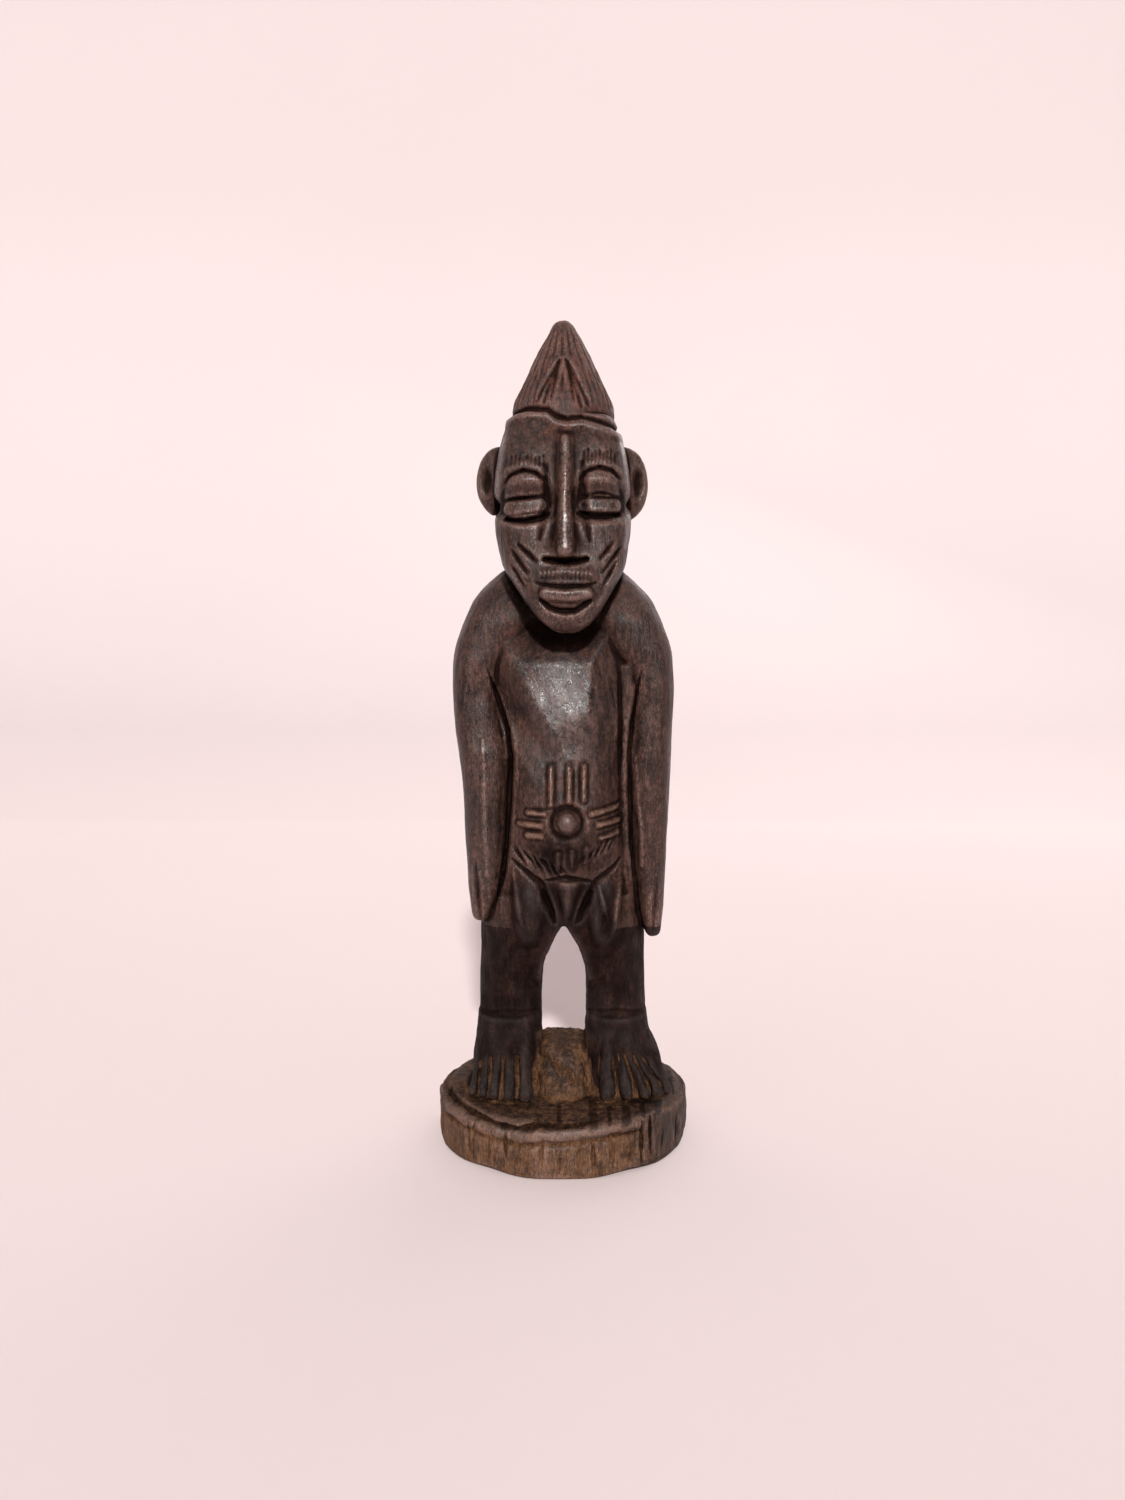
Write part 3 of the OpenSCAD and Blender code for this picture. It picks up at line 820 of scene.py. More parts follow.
# %% [markdown]
# ## How the wood has aged, with painted highlight and painted shade
# Four numbers change the colour. Edges are lighter, partly rubbed by hands and partly a painted highlight,
# hollows are darker as painted shade, ochre dust stayed in the scars, the toes and the base, and red
# earth stained the coiffure and the shoulders. Each becomes a number on every vertex. Where the field's
# local average differs from the surface, the wood is either an edge or a hollow.


# %% Edges and hollows: wear, painted highlight and painted shade
def blurred(field, cells):
    for axis in range(3):
        total = np.cumsum(field, axis=axis, dtype=np.float32)
        ahead, behind = np.roll(total, -cells, axis), np.roll(total, cells + 1, axis)
        field = (ahead - behind) / (2 * cells + 1)
    return field


def sample(field, at):
    """The field at points given in grid steps, blended from the eight cells round each point."""
    base = np.clip(at.astype(int), 0, np.array(field.shape) - 2)
    t = at - base
    out = np.zeros(len(at))
    for dx in (0, 1):
        for dy in (0, 1):
            for dz in (0, 1):
                wx, wy, wz = (t[:, k] if d else 1 - t[:, k] for k, d in enumerate((dx, dy, dz)))
                out += wx * wy * wz * field[base[:, 0] + dx, base[:, 1] + dy, base[:, 2] + dz]
    return out


def clean(values, low=0.0, high=1.0):
    return np.clip(values, low, high)


capped = np.clip(block.field, -2.5, 2.5)
near_cells, far_cells = max(2, round(0.8 / GRID)), round(2.2 / GRID)
near, far = (sample(blurred(capped, n), points_grid) for n in (near_cells, far_cells))
P = points
front = soft_step(3.0, -P[:, 1] - 5)


def close_to(paths, width):
    """1 on the drawn lines of the front, falling to 0 at the given width."""
    out = np.zeros(len(P))
    for path in paths:
        d = line_distance(P[:, 0], P[:, 2], path)[0]
        out = np.maximum(out, clean(1.4 * (1 - d / width)))
    return out * front


# Convex edges get lighter, partly as wear and partly as a painted highlight; concave hollows get darker as
# painted shade.
edge_wear_and_highlight = clean(near / 0.16) * 0.7 + clean(far / 0.7) * 0.5
hollow = clean(-near / 0.14) * 0.7 + clean(-far / 0.5) * 0.6
# Painted shadow under the chin: the neck and upper chest behind the jaw are darkened as if shaded by the
# head.
painted_chin_shadow = np.exp(-((P[:, 0] / 10.5) ** 4) - ((P[:, 2] - 119) / 8.5) ** 4)
painted_chin_shadow *= soft_step(2, P[:, 1] + 13.2) * soft_step(4, -P[:, 1])
hollow = np.maximum(hollow, 1.1 * painted_chin_shadow)

# %% [markdown]
# ## Ochre, red earth, polish and rough wood
# Each number is a sum of soft masks: a range of heights, a drawn line or a round spot. `clean` keeps
# it between 0 and 1, so that the shader can treat all of them alike.

# %% Ochre, red earth, polish and rough wood
x, y, z = P.T
in_base = soft_step(1.0, BASE_TOP - 0.6 - z)
in_hump = soft_step(1.2, HUMP_X + 0.6 - np.abs(x)) * soft_step(1.0, z - BASE_TOP + 0.6)
in_hump *= soft_step(1.5, HUMP_TOP + 1.5 - z)
in_toes = soft_step(3, -6.5 - y) * soft_step(1.5, z - BASE_TOP + 0.5) * soft_step(2, BASE_TOP + 9 - z)
mottle = 0.5 + 0.5 * np.sin(0.9 * x + 1.7 * np.sin(0.35 * z)) * np.sin(0.5 * z + 1.3 * np.sin(0.8 * x))
sooty = soft_step(8, 62 - z) * soft_step(2, z - BASE_TOP) * (0.75 + 0.25 * mottle) * (1 - 0.6 * in_hump)
sooty *= np.where(z > CROTCH, soft_step(3, ARM_X - 1.5 - np.abs(x)), 1)
under_navel = 0.95 * np.exp(-(((x - 0.5) / 9) ** 4) - ((z - 67.5) / 6) ** 4) * (0.6 + 0.4 * mottle)
sooty = np.maximum(sooty, under_navel)
# Painted highlight lines along the polished side edges of the face and jaw: they lighten the edge number and
# add polish.
face_edges = [[(-12.2, 156), (-13.8, 149), (-13.9, 141)]]
face_edges += [[(12.4, 156), (14.0, 148), (14.0, 140), (13.2, 133)]]
face_edges += [[(-10.2, 127), (-7.6, 121.5)], [(9.8, 126), (7.4, 121)]]
polished_and_highlit_edges = close_to(face_edges, 0.9)
edge_wear_and_highlight = np.maximum(edge_wear_and_highlight, 0.8 * polished_and_highlit_edges)
sooty = np.maximum(sooty, 0.6 * np.exp(-(np.hypot(x - NAVEL[0], z - NAVEL[2]) / 3.4) ** 4))
sooty = np.maximum(sooty, in_base * (0.45 * soft_step(0.8, z - BASE_TOP + 2.2) + 0.5 * (mottle > 0.8)))
on_bars = close_to(bars, 1.2)
on_low_bars = close_to(low_bars, 1.6)
belly = np.exp(-(((x - 0.5) / 8.5) ** 2) - ((z - 69) / 5.5) ** 2) * front
forearm_edge = close_to([[(-12.4, 92), (-12.2, 84), (-12.7, 72), (-13.6, 62)]], 1.2)
ochre = clean(
    (0.22 + 0.5 * soft_step(3, 9 - z)) * in_base * soft_step(14, 16 - x)
    + 0.5 * in_hump
    + 1.5 * in_toes * clean(hollow * 1.8 - 0.2)
    + 0.25 * soft_step(2, BASE_TOP + 3 - z)
    + 0.75 * on_bars * (0.55 + 0.45 * mottle)
    + 0.1 * on_low_bars
    + 0.15 * belly
    + 0.45 * soft_step(6, 54 - z) * soft_step(2, z - BASE_TOP) * (mottle - 0.55)
    + 0.4 * forearm_edge
)
brow = np.exp(-(((z - HAIR + 2.2) / 2.6) ** 2) - ((x + 1.5) / 8) ** 2) * front
red = clean(
    0.55 * soft_step(3, z - HAIR - 1)
    + 0.75 * brow
    + 0.4 * np.exp(-(((np.abs(x) - 13) / 6) ** 2) - ((z - 116) / 7) ** 2)
    + 0.35 * close_to([right_arc, left_arc], 2.4)
    + 0.3 * close_to(cheek_scars, 2.0)
)
chest = clean(1.2 - ((x + 0.3) / 8.5) ** 2 - ((z - 98) / 13) ** 2) * front
rim = close_to([[(-13, 9.0), (-5, 9.4), (2, 9.6), (9, 10.2)]], 1.5)
polish = clean(
    0.75 * chest
    + close_to([[(MID, 153), (MID, 132)]], 1.8)
    + 1.0 * rim
    + 0.5 * in_base * soft_step(3, x - 20)
    + 0.5 * edge_wear_and_highlight
    + 0.6 * polished_and_highlit_edges
    + 0.6 * np.exp(-(np.hypot(x - NAVEL[0], z - NAVEL[2]) / 2.2) ** 4) * front
    + 0.5 * close_to([[(-17, 88), (-16.8, 62)]], 4.0)
)
edge_wear_and_highlight *= 1 - 0.6 * in_toes
# The soot joins the painted shade of the hollows in one number.
hollow = np.maximum(hollow, clean(sooty))
rough = clean(
    0.75 * in_hump + 0.55 * in_base + 0.6 * in_toes + 0.7 * belly + 0.3 * soft_step(2, CROTCH - z)
    + 0.2 * soft_step(3, z - HAIR)
)
lumps = {"edge_wear_and_highlight": edge_wear_and_highlight, "hollow": hollow, "ochre": ochre}
lumps.update({"red": red, "polish": polish, "rough": rough})
for name, values in lumps.items():
    layer = sculpt_mesh.attributes.new(name, "FLOAT", "POINT")
    layer.data.foreach_set("value", values.astype(np.float32))
    print(name, "mean", round(float(values.mean()), 3), "highest", round(float(values.max()), 2))

# %% [markdown]
# ## Woods
# One recipe serves all three finishes. Dark heartwood with vertical grain comes first, then the red earth,
# the ochre dust, the lighter edges (partly wear, partly painted highlight), the darker hollows (painted
# shade, with soot) and the coiffure's painted groove shade and ridge glints mix in by their vertex numbers,
# broken up by noise so that no edge is clean. Roughness and a fine bump follow the same numbers.
# Coordinates are the object's own, in millimetres.


# %% Node helpers
class Tree:
    """Short names for building a node tree, for shaders and for geometry alike."""

    def __init__(self, tree):
        self.tree = tree

    def node(self, kind, **settings):
        new = self.tree.nodes.new(kind)
        for key, value in settings.items():
            setattr(new, key, value)
        return new

    def feed(self, socket, value):
        if isinstance(value, bpy.types.NodeSocket):
            self.tree.links.new(value, socket)
        else:
            socket.default_value = value

    def math(self, operation, a, b=0.0, clamp=False):
        new = self.node("ShaderNodeMath", operation=operation, use_clamp=clamp)
        self.feed(new.inputs[0], a)
        self.feed(new.inputs[1], b)
        return new.outputs[0]

    def add(self, a, b, clamp=False):
        return self.math("ADD", a, b, clamp)

    def sub(self, a, b, clamp=False):
        return self.math("SUBTRACT", a, b, clamp)

    def mul(self, a, b, clamp=False):
        return self.math("MULTIPLY", a, b, clamp)

    def ramp(self, value, low, high, to_low=0.0, to_high=1.0):
        new = self.node("ShaderNodeMapRange", interpolation_type="SMOOTHSTEP")
        for socket, v in zip(new.inputs, (value, low, high, to_low, to_high)):
            self.feed(socket, v)
        return new.outputs[0]

    def stretched(self, vector, factors):
        new = self.node("ShaderNodeVectorMath", operation="MULTIPLY")
        self.feed(new.inputs[0], vector)
        new.inputs[1].default_value = factors
        return new.outputs[0]

    def noise(self, vector, scale, detail=3.0, rough=0.5):
        new = self.node("ShaderNodeTexNoise")
        self.feed(new.inputs["Vector"], vector)
        self.feed(new.inputs["Scale"], scale)
        new.inputs["Detail"].default_value = detail
        new.inputs["Roughness"].default_value = rough
        return new.outputs[0]

    def mix(self, factor, a, b):
        new = self.node("ShaderNodeMix", data_type="RGBA")
        self.feed(new.inputs[0], factor)
        self.feed(new.inputs[6], a)
        self.feed(new.inputs[7], b)
        return new.outputs[2]


# %% [markdown]
# ## The three woods
# `wood` goes from the plain grain to the stains, the painted highlights and the painted shade, and ends
# with roughness, sheen and bump. Only the two tones and the gloss differ between the three.

# %% The three woods
def wood(name, dark, light, worn_and_highlight_tone, dust, earth, gloss):
    material = bpy.data.materials.new(name)
    material.use_nodes = True
    t = Tree(material.node_tree)
    shader = material.node_tree.nodes["Principled BSDF"]
    place = t.node("ShaderNodeTexCoord").outputs["Object"]
    mm = t.stretched(place, (1000, 1000, 1000))
    along = t.stretched(place, (1000, 1000, 140))

    def number(key):
        return t.node("ShaderNodeAttribute", attribute_name=key).outputs["Fac"]

    grain = t.ramp(t.noise(along, 1.1, 4, 0.6), 0.34, 0.66)
    fibres = t.ramp(t.noise(along, 4.2, 3, 0.65), 0.42, 0.58)
    clouds = t.ramp(t.noise(mm, 0.15, 4, 0.6), 0.34, 0.66)
    patches = t.ramp(t.noise(mm, 0.8, 5, 0.7), 0.4, 0.6)
    specks = t.ramp(t.noise(t.stretched(place, (1000, 1000, 420)), 3.4, 3, 0.7), 0.46, 0.62)
    pores = t.ramp(t.noise(along, 7.0, 2, 0.5), 0.6, 0.68)
    tone = t.add(t.mul(grain, 0.4), t.mul(clouds, 0.35))
    tone = t.add(tone, t.mul(specks, 0.3))
    tone = t.mul(tone, t.add(0.55, t.mul(patches, 0.75)))
    colour = t.mix(tone, dark + (1,), light + (1,))
    # The darkest tone, for the grain's fibres and pores and for the painted shade.
    shadow = tuple(c * 0.4 for c in dark) + (1,)
    earthy = t.add(t.mul(number("red"), 0.9), t.mul(patches, 0.35))
    broken = t.add(0.45, t.mul(specks, 0.5))
    earthy = t.mul(t.ramp(earthy, 0.5, 1.05, 0, 0.85), broken)
    colour = t.mix(earthy, colour, earth + (1,))
    dusty = t.add(number("ochre"), t.mul(patches, 0.3))
    broken = t.add(0.2, t.mul(tone, 1.1), True)
    dusty = t.mul(t.ramp(dusty, 0.35, 1.1, 0, 0.95), broken)
    colour = t.mix(dusty, colour, dust + (1,))
    colour = t.mix(t.mul(fibres, 0.38), colour, shadow)
    # Lighter edges: partly rubbed wear, partly a painted highlight.
    rubbed_and_highlit = t.add(t.mul(number("edge_wear_and_highlight"), 0.7), t.mul(specks, 0.4))
    broken = t.sub(1, t.mul(fibres, 0.6))
    rubbed_and_highlit = t.mul(t.ramp(rubbed_and_highlit, 0.45, 1.1, 0, 0.55), broken)
    colour = t.mix(rubbed_and_highlit, colour, worn_and_highlight_tone + (1,))
    # Darker hollows: painted shade together with the soot, held back where ochre dust lies.
    dust_free = t.ramp(number("ochre"), 0.25, 0.9, 1, 0.2)
    deep = t.mul(t.ramp(number("hollow"), 0.3, 1.0, 0, 0.82), dust_free)
    colour = t.mix(deep, colour, shadow)
    colour = t.mix(t.mul(pores, 0.6), colour, shadow)
    # Painted shade in the coiffure's grooves, and a painted glint of the worn tone on its ridge tops.
    colour = t.mix(t.mul(number("comb_shade_and_glint"), 0.8, True), colour, shadow)
    combed = t.mul(t.mul(number("comb_shade_and_glint"), -0.4, True), t.add(0.3, specks))
    colour = t.mix(combed, colour, worn_and_highlight_tone + (1,))
    t.feed(shader.inputs["Base Color"], colour)
    rough_now = t.add(gloss, t.mul(t.sub(patches, 0.5), 0.14))
    rough_now = t.add(rough_now, t.mul(number("rough"), 0.3))
    rough_now = t.add(rough_now, t.mul(number("hollow"), 0.2))
    rough_now = t.sub(rough_now, t.mul(number("polish"), 0.1))
    rough_now = t.math("MINIMUM", t.math("MAXIMUM", rough_now, 0.22), 0.95)
    t.feed(shader.inputs["Roughness"], rough_now)
    sheen = t.add(0.2, t.mul(number("polish"), 0.45))
    # Less reflection in the hollows, to go with their painted shade.
    sheen = t.sub(sheen, t.mul(number("hollow"), 0.17))
    t.feed(shader.inputs["Specular IOR Level"], t.math("MAXIMUM", sheen, 0.04))
    fine = t.sub(t.mul(specks, 0.5), t.mul(fibres, 0.6))
    fine = t.sub(fine, t.mul(pores, 0.6))
    fine = t.add(fine, t.mul(grain, 0.8))
    bump = t.node("ShaderNodeBump")
    t.feed(bump.inputs["Strength"], t.sub(0.75, t.mul(number("polish"), 0.45)))
    bump.inputs["Distance"].default_value = 0.00006
    t.feed(bump.inputs["Height"], fine)
    t.feed(shader.inputs["Normal"], bump.outputs["Normal"])
    return material


# The worn tone is the colour of edges rubbed by hands and also of the painted highlights on edges and on the
# coiffure's ridge tops.
SKIN = dict(worn_and_highlight_tone=(0.24, 0.135, 0.105), dust=(0.17, 0.084, 0.042), earth=(0.15, 0.045, 0.027))
TONES = {
    "patinated_wood": ((0.0085, 0.0042, 0.0036), (0.098, 0.046, 0.034), 0.38),
    "reddish_wood": ((0.014, 0.006, 0.0048), (0.125, 0.055, 0.041), 0.4),
    "base_wood": ((0.0095, 0.0045, 0.003), (0.09, 0.043, 0.026), 0.46),
}
woods = {name: wood(name, dark, light, gloss=gloss, **SKIN) for name, (dark, light, gloss) in TONES.items()}
print("woods:", list(woods))

# %% [markdown]
# ## Repeated tool marks
# Two things repeat all over the figure: the combed ridges of the coiffure, which all run to its tip,
# and the small scoops left by a narrow gouge. Rules make both, so Geometry Nodes does them. Each
# tree is built here with named inputs, and is applied before the block is divided, so that the
# marks run on across the seams.


# %% What both trees share
def new_tree(name, sockets):
    tree = bpy.data.node_groups.new(name, "GeometryNodeTree")
    tree.is_modifier = True
    tree.interface.new_socket("Geometry", in_out="OUTPUT", socket_type="NodeSocketGeometry")
    tree.interface.new_socket("Geometry", in_out="INPUT", socket_type="NodeSocketGeometry")
    for label, kind in sockets:
        tree.interface.new_socket(label, in_out="INPUT", socket_type="NodeSocket" + kind)
    t = Tree(tree)
    ends = t.node("NodeGroupInput"), t.node("NodeGroupOutput")
    return t, ends[0].outputs, ends[1].inputs[0]


def push(t, geometry, amount):
    """Moves the surface along its normal."""
    normal = t.node("GeometryNodeInputNormal").outputs[0]
    scaled = t.node("ShaderNodeVectorMath", operation="SCALE")
    t.feed(scaled.inputs[0], normal)
    t.feed(scaled.inputs["Scale"], amount)
    move = t.node("GeometryNodeSetPosition")
    t.feed(move.inputs["Geometry"], geometry)
    t.feed(move.inputs["Offset"], scaled.outputs[0])
    return move.outputs[0]


def close_tree(t, geometry, material, out):
    real = t.node("GeometryNodeRealizeInstances")
    t.feed(real.inputs[0], geometry)
    paint = t.node("GeometryNodeSetMaterial")
    t.feed(paint.inputs["Geometry"], real.outputs[0])
    t.feed(paint.inputs["Material"], material)
    t.feed(out, paint.outputs[0])

# %% [markdown]
# ## Combed ridges
# The angle round the coiffure times the number of ridges gives a wave. From mid-height up only every
# second ridge goes on. The wave fades out over the plain front, the foot and the tip.


# %% Combed ridges
def combed_ridges():
    sockets = [(label, "Float") for label in ("Ridges", "Depth", "Foot", "Tip")] + [("Wood", "Material")]
    t, ins, out = new_tree("combed ridges", sockets)
    spot = t.node("GeometryNodeInputPosition").outputs[0]
    xyz = t.node("ShaderNodeSeparateXYZ")
    t.feed(xyz.inputs[0], spot)
    turn = t.math("ARCTAN2", xyz.outputs[0], t.mul(xyz.outputs[1], -1))
    sway = t.mul(t.sub(t.noise(spot, 70.0, 1), 0.5), 0.7)
    count = t.add(t.mul(turn, t.math("DIVIDE", ins["Ridges"], 2 * math.pi)), sway)
    height = t.sub(xyz.outputs[2], ins["Foot"])
    height = t.math("DIVIDE", height, t.sub(ins["Tip"], ins["Foot"]))
    every = t.math("PINGPONG", count, 0.5)
    second = t.mul(t.math("PINGPONG", t.mul(count, 0.5), 0.5), 2)
    upper = t.ramp(height, 0.4, 0.6)
    wave = t.add(every, t.mul(t.sub(second, every), upper))
    fade = t.mul(t.ramp(height, 0.05, 0.16), t.ramp(height, 0.82, 0.97, 1, 0))
    in_front = t.ramp(t.math("ABSOLUTE", turn), 0.42, 0.56, 1, 0)
    flat = t.mul(in_front, t.ramp(height, 0.58, 0.66, 1, 0))
    fade = t.mul(fade, t.sub(1, flat))
    # The stored number is painted shade in each groove and, below nought, a painted glint on each ridge top;
    # only the groove moves the surface.
    groove = t.mul(t.ramp(wave, 0.02, 0.3, 1, 0), fade)
    amount = t.mul(groove, t.mul(ins["Depth"], -1))
    top = t.mul(t.ramp(wave, 0.32, 0.46), fade)
    groove = t.sub(groove, top)
    store = t.node("GeometryNodeStoreNamedAttribute", data_type="FLOAT", domain="POINT")
    t.feed(store.inputs["Geometry"], ins["Geometry"])
    store.inputs["Name"].default_value = "comb_shade_and_glint"
    t.feed(store.inputs["Value"], groove)
    close_tree(t, push(t, store.outputs[0], amount), ins["Wood"], out)
    return t.tree

# %% [markdown]
# ## Gouge marks
# Rounded cells make the scoops and stretched noise makes the grain. Both are deeper where the wood was
# left rough. Nothing moves at the underside, so that the figure stands flat.


# %% Gouge marks
def gouge_marks():
    sockets = [("Scoop size", "Float"), ("Depth", "Float"), ("Grain depth", "Float"), ("Wood", "Material")]
    t, ins, out = new_tree("gouge marks", sockets)
    spot = t.node("GeometryNodeInputPosition").outputs[0]
    xyz = t.node("ShaderNodeSeparateXYZ")
    t.feed(xyz.inputs[0], spot)
    named = t.node("GeometryNodeInputNamedAttribute", data_type="FLOAT")
    named.inputs["Name"].default_value = "rough"
    cells = t.node("ShaderNodeTexVoronoi", feature="SMOOTH_F1")
    t.feed(cells.inputs["Vector"], t.stretched(spot, (1, 1, 0.5)))
    t.feed(cells.inputs["Scale"], t.math("DIVIDE", 1, ins["Scoop size"]))
    cells.inputs["Smoothness"].default_value = 0.25
    scoop = t.sub(cells.outputs["Distance"], 0.45)
    more = t.add(0.8, t.mul(named.outputs[0], 2.2))
    grain = t.sub(t.noise(t.stretched(spot, (1, 1, 0.14)), 900.0, 3, 0.6), 0.5)
    cut = t.mul(t.mul(scoop, more), ins["Depth"])
    fine = t.mul(t.mul(grain, more), ins["Grain depth"])
    above = t.ramp(xyz.outputs[2], 0.0003, 0.0016)
    amount = t.mul(t.add(cut, fine), above)
    close_tree(t, push(t, ins["Geometry"], amount), ins["Wood"], out)
    return t.tree

# %% [markdown]
# ## Use a tree
# A modifier's inputs are filled by their identifiers, which the tree's interface lists by name.


# %% Use a tree
def use_tree(obj, tree, values):
    """Adds the tree as a modifier, fills its inputs by socket identifier, and makes a plain mesh."""
    modifier = obj.modifiers.new(tree.name, "NODES")
    modifier.node_group = tree
    for item in tree.interface.items_tree:
        if item.item_type == "SOCKET" and item.in_out == "INPUT" and item.name in values:
            modifier[item.identifier] = values[item.name]
    bpy.context.view_layer.update()
    done = obj.evaluated_get(bpy.context.evaluated_depsgraph_get())
    mesh = bpy.data.meshes.new_from_object(done)
    obj.modifiers.remove(modifier)
    obj.data = mesh
    print(tree.name, "gave", len(mesh.vertices), "vertices and", len(mesh.materials), "material")


# %% [markdown]
# ## Comb the coiffure and gouge the surface
# The two trees are used one after the other. Each gives back a plain mesh for the next step.

# %% Comb the coiffure and gouge the surface
skin = woods["patinated_wood"]
comb_values = {"Ridges": 42.0, "Depth": 0.5 * MM, "Wood": skin}
comb_values.update({"Foot": (HAIR + 1.2) * MM, "Tip": TIP * MM})
gouge_values = {"Scoop size": 3.2 * MM, "Depth": 0.3 * MM, "Grain depth": 0.3 * MM, "Wood": skin}
use_tree(sculpt, combed_ridges(), comb_values)
use_tree(sculpt, gouge_marks(), gouge_values)

# %% [markdown]
# ## Pieces
# The block is cut on the same planes as the CAD regions. Every cut is closed by a flat face, so each
# piece is a closed solid. The shading normals of the whole figure are kept on the pieces, which
# makes the seams invisible.

# %% The whole surface as arrays
def read(rows, key, width=1, kind=np.float32):
    """One property of every row of a Blender collection, as an array."""
    values = np.empty(len(rows) * width, kind)
    rows.foreach_get(key, values)
    return values.reshape(-1, width) if width > 1 else values


whole = sculpt.data
V = read(whole.vertices, "co", 3)
N = read(whole.vertex_normals, "vector", 3)
Q = read(whole.loops, "vertex_index", kind=np.int32).reshape(-1, 4)
names = list(lumps) + ["comb_shade_and_glint"]
numbers = {name: read(whole.attributes[name].data, "value") for name in names}
mid_z = V[Q, 2].mean(axis=1) / MM
TINY = 2e-6
SAME_SPOT = 1e-7

# %% [markdown]
# ## Slabs, cuts and caps
# A slab is the strip of surface between two heights. `trim` cuts it with a plane and `cap` fills the
# open outline with flat faces, so that the piece is closed again.


# %% Slabs, cuts and caps
def slab(low, high):
    """A bmesh of the surface between two heights, with a margin beyond each."""
    keep = (mid_z > low - 1) & (mid_z < high + 1)
    quads = Q[keep]
    used, local = np.unique(quads, return_inverse=True)
    mesh = mesh_from("slab", V[used], local.reshape(-1, 4))
    for name in names:
        mesh.attributes.new(name, "FLOAT", "POINT").data.foreach_set("value", numbers[name][used])
    layer = mesh.attributes.new("shade", "FLOAT_VECTOR", "POINT")
    layer.data.foreach_set("vector", N[used].ravel())
    mesh.attributes.new("cap", "FLOAT", "FACE")
    bm = bmesh.new()
    bm.from_mesh(mesh)
    bpy.data.meshes.remove(mesh)
    return bm


def everything(bm):
    return bm.verts[:] + bm.edges[:] + bm.faces[:]


def on_plane(vertex, axis, value):
    return abs(vertex.co[axis] - value * MM) < TINY


def cap(bm, axis, value, outward):
    """Closes the open edges that lie in a plane with flat faces that look outward."""
    loose = [e for e in bm.edges if e.is_boundary or e.is_wire]
    rims = [e for e in loose if all(on_plane(v, axis, value) for v in e.verts)]
    if not rims:
        return
    filled = bmesh.ops.triangle_fill(bm, edges=rims, use_beauty=True, use_dissolve=False)
    made = [f for f in filled["geom"] if isinstance(f, bmesh.types.BMFace)]
    flag = bm.faces.layers.float["cap"]
    for face in made:
        face[flag] = 1
        face.normal_update()
        if face.normal[axis] * outward < 0:
            face.normal_flip()


def trim(bm, axis, value, keep_above, close=True):
    """Keeps one side of a plane across an axis, and closes the cut."""
    normal = [0, 0, 0]
    normal[axis] = -1 if keep_above else 1
    point = [0, 0, 0]
    point[axis] = value * MM
    bmesh.ops.bisect_plane(
        bm, geom=everything(bm), dist=SAME_SPOT, plane_co=point, plane_no=normal, clear_outer=True
    )
    if close:
        cap(bm, axis, value, -1 if keep_above else 1)


def take_out(bm, heights, wanted):
    """Cuts the plane y = THROAT_Y and drops the faces that wanted() refuses, then closes the corner."""
    for axis, value in ((1, THROAT_Y), (2, heights)):
        normal, point = [0, 0, 0], [0, 0, 0]
        normal[axis], point[axis] = 1, value * MM
        bmesh.ops.bisect_plane(bm, geom=everything(bm), dist=SAME_SPOT, plane_co=point, plane_no=normal)
    drop = [f for f in bm.faces if not wanted(f.calc_center_median() / MM)]
    bmesh.ops.delete(bm, geom=drop, context="FACES")
    corners = [v for v in bm.verts if v.is_boundary and on_plane(v, 1, THROAT_Y) and on_plane(v, 2, heights)]
    corners.sort(key=lambda v: v.co.x)
    if len(corners) >= 2:
        bm.edges.new((corners[0], corners[-1]))
    print("corner vertices", len(corners))

# %% [markdown]
# ## Finish a piece
# The cut faces get flat normals and the carved ones keep the normals of the whole figure. Then the
# piece gets its wood and is tied to its body, and the CAD regions that it stands for are hidden.

# %% Finish a piece
pieces = []


def finish_piece(bm, name, material, *nodes):
    """Makes the object, with the kept shading normals, ties it to the root body and hides its CAD regions.
    """
    bmesh.ops.remove_doubles(bm, verts=bm.verts, dist=SAME_SPOT)
    bmesh.ops.triangulate(bm, faces=[f for f in bm.faces if len(f.verts) > 4])
    open_edges = sum(1 for e in bm.edges if not e.is_manifold)
    mesh = bpy.data.meshes.new(name)
    bm.to_mesh(mesh)
    bm.free()
    mesh.shade_smooth()
    shade = read(mesh.attributes["shade"].data, "vector", 3)
    lengths = np.linalg.norm(shade, axis=1, keepdims=True)
    corner_vertex = read(mesh.loops, "vertex_index", kind=np.int32)
    corner_normal = (shade / np.maximum(lengths, 1e-6))[corner_vertex]
    flag = read(mesh.attributes["cap"].data, "value")
    sizes = read(mesh.polygons, "loop_total", kind=np.int32)
    flat = read(mesh.polygons, "normal", 3)
    capped_corner = np.repeat(flag > 0.5, sizes)
    corner_normal[capped_corner] = np.repeat(flat, sizes, axis=0)[capped_corner]
    mesh.normals_split_custom_set(corner_normal)
    for spare in ("shade", "cap"):
        mesh.attributes.remove(mesh.attributes[spare])
    mesh.materials.append(woods[material])
    obj = bpy.data.objects.new(name, mesh)
    bpy.context.scene.collection.objects.link(obj)
    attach(obj, "root")
    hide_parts(*nodes)
    pieces.append(obj)
    print(f"{name:14s} faces {len(mesh.polygons):7d}  open edges {open_edges}")


def level(low, high):
    """The wood between two heights, closed at both."""
    bm = slab(low, high)
    trim(bm, 2, low, True)
    trim(bm, 2, high, False)
    return bm


def between(bm, x, name, material, *nodes):
    """The piece between the planes at -x and x."""
    trim(bm, 0, -x, True)
    trim(bm, 0, x, False)
    finish_piece(bm, name, material, *nodes)


def pair(bm, x, right, left):
    """The two pieces outside the planes at -x and x, each given as its name and its CAD node."""
    other = bm.copy()
    trim(other, 0, -x, False)
    finish_piece(other, right[0], "patinated_wood", right[1])
    trim(bm, 0, x, True)
    finish_piece(bm, left[0], "patinated_wood", left[1])


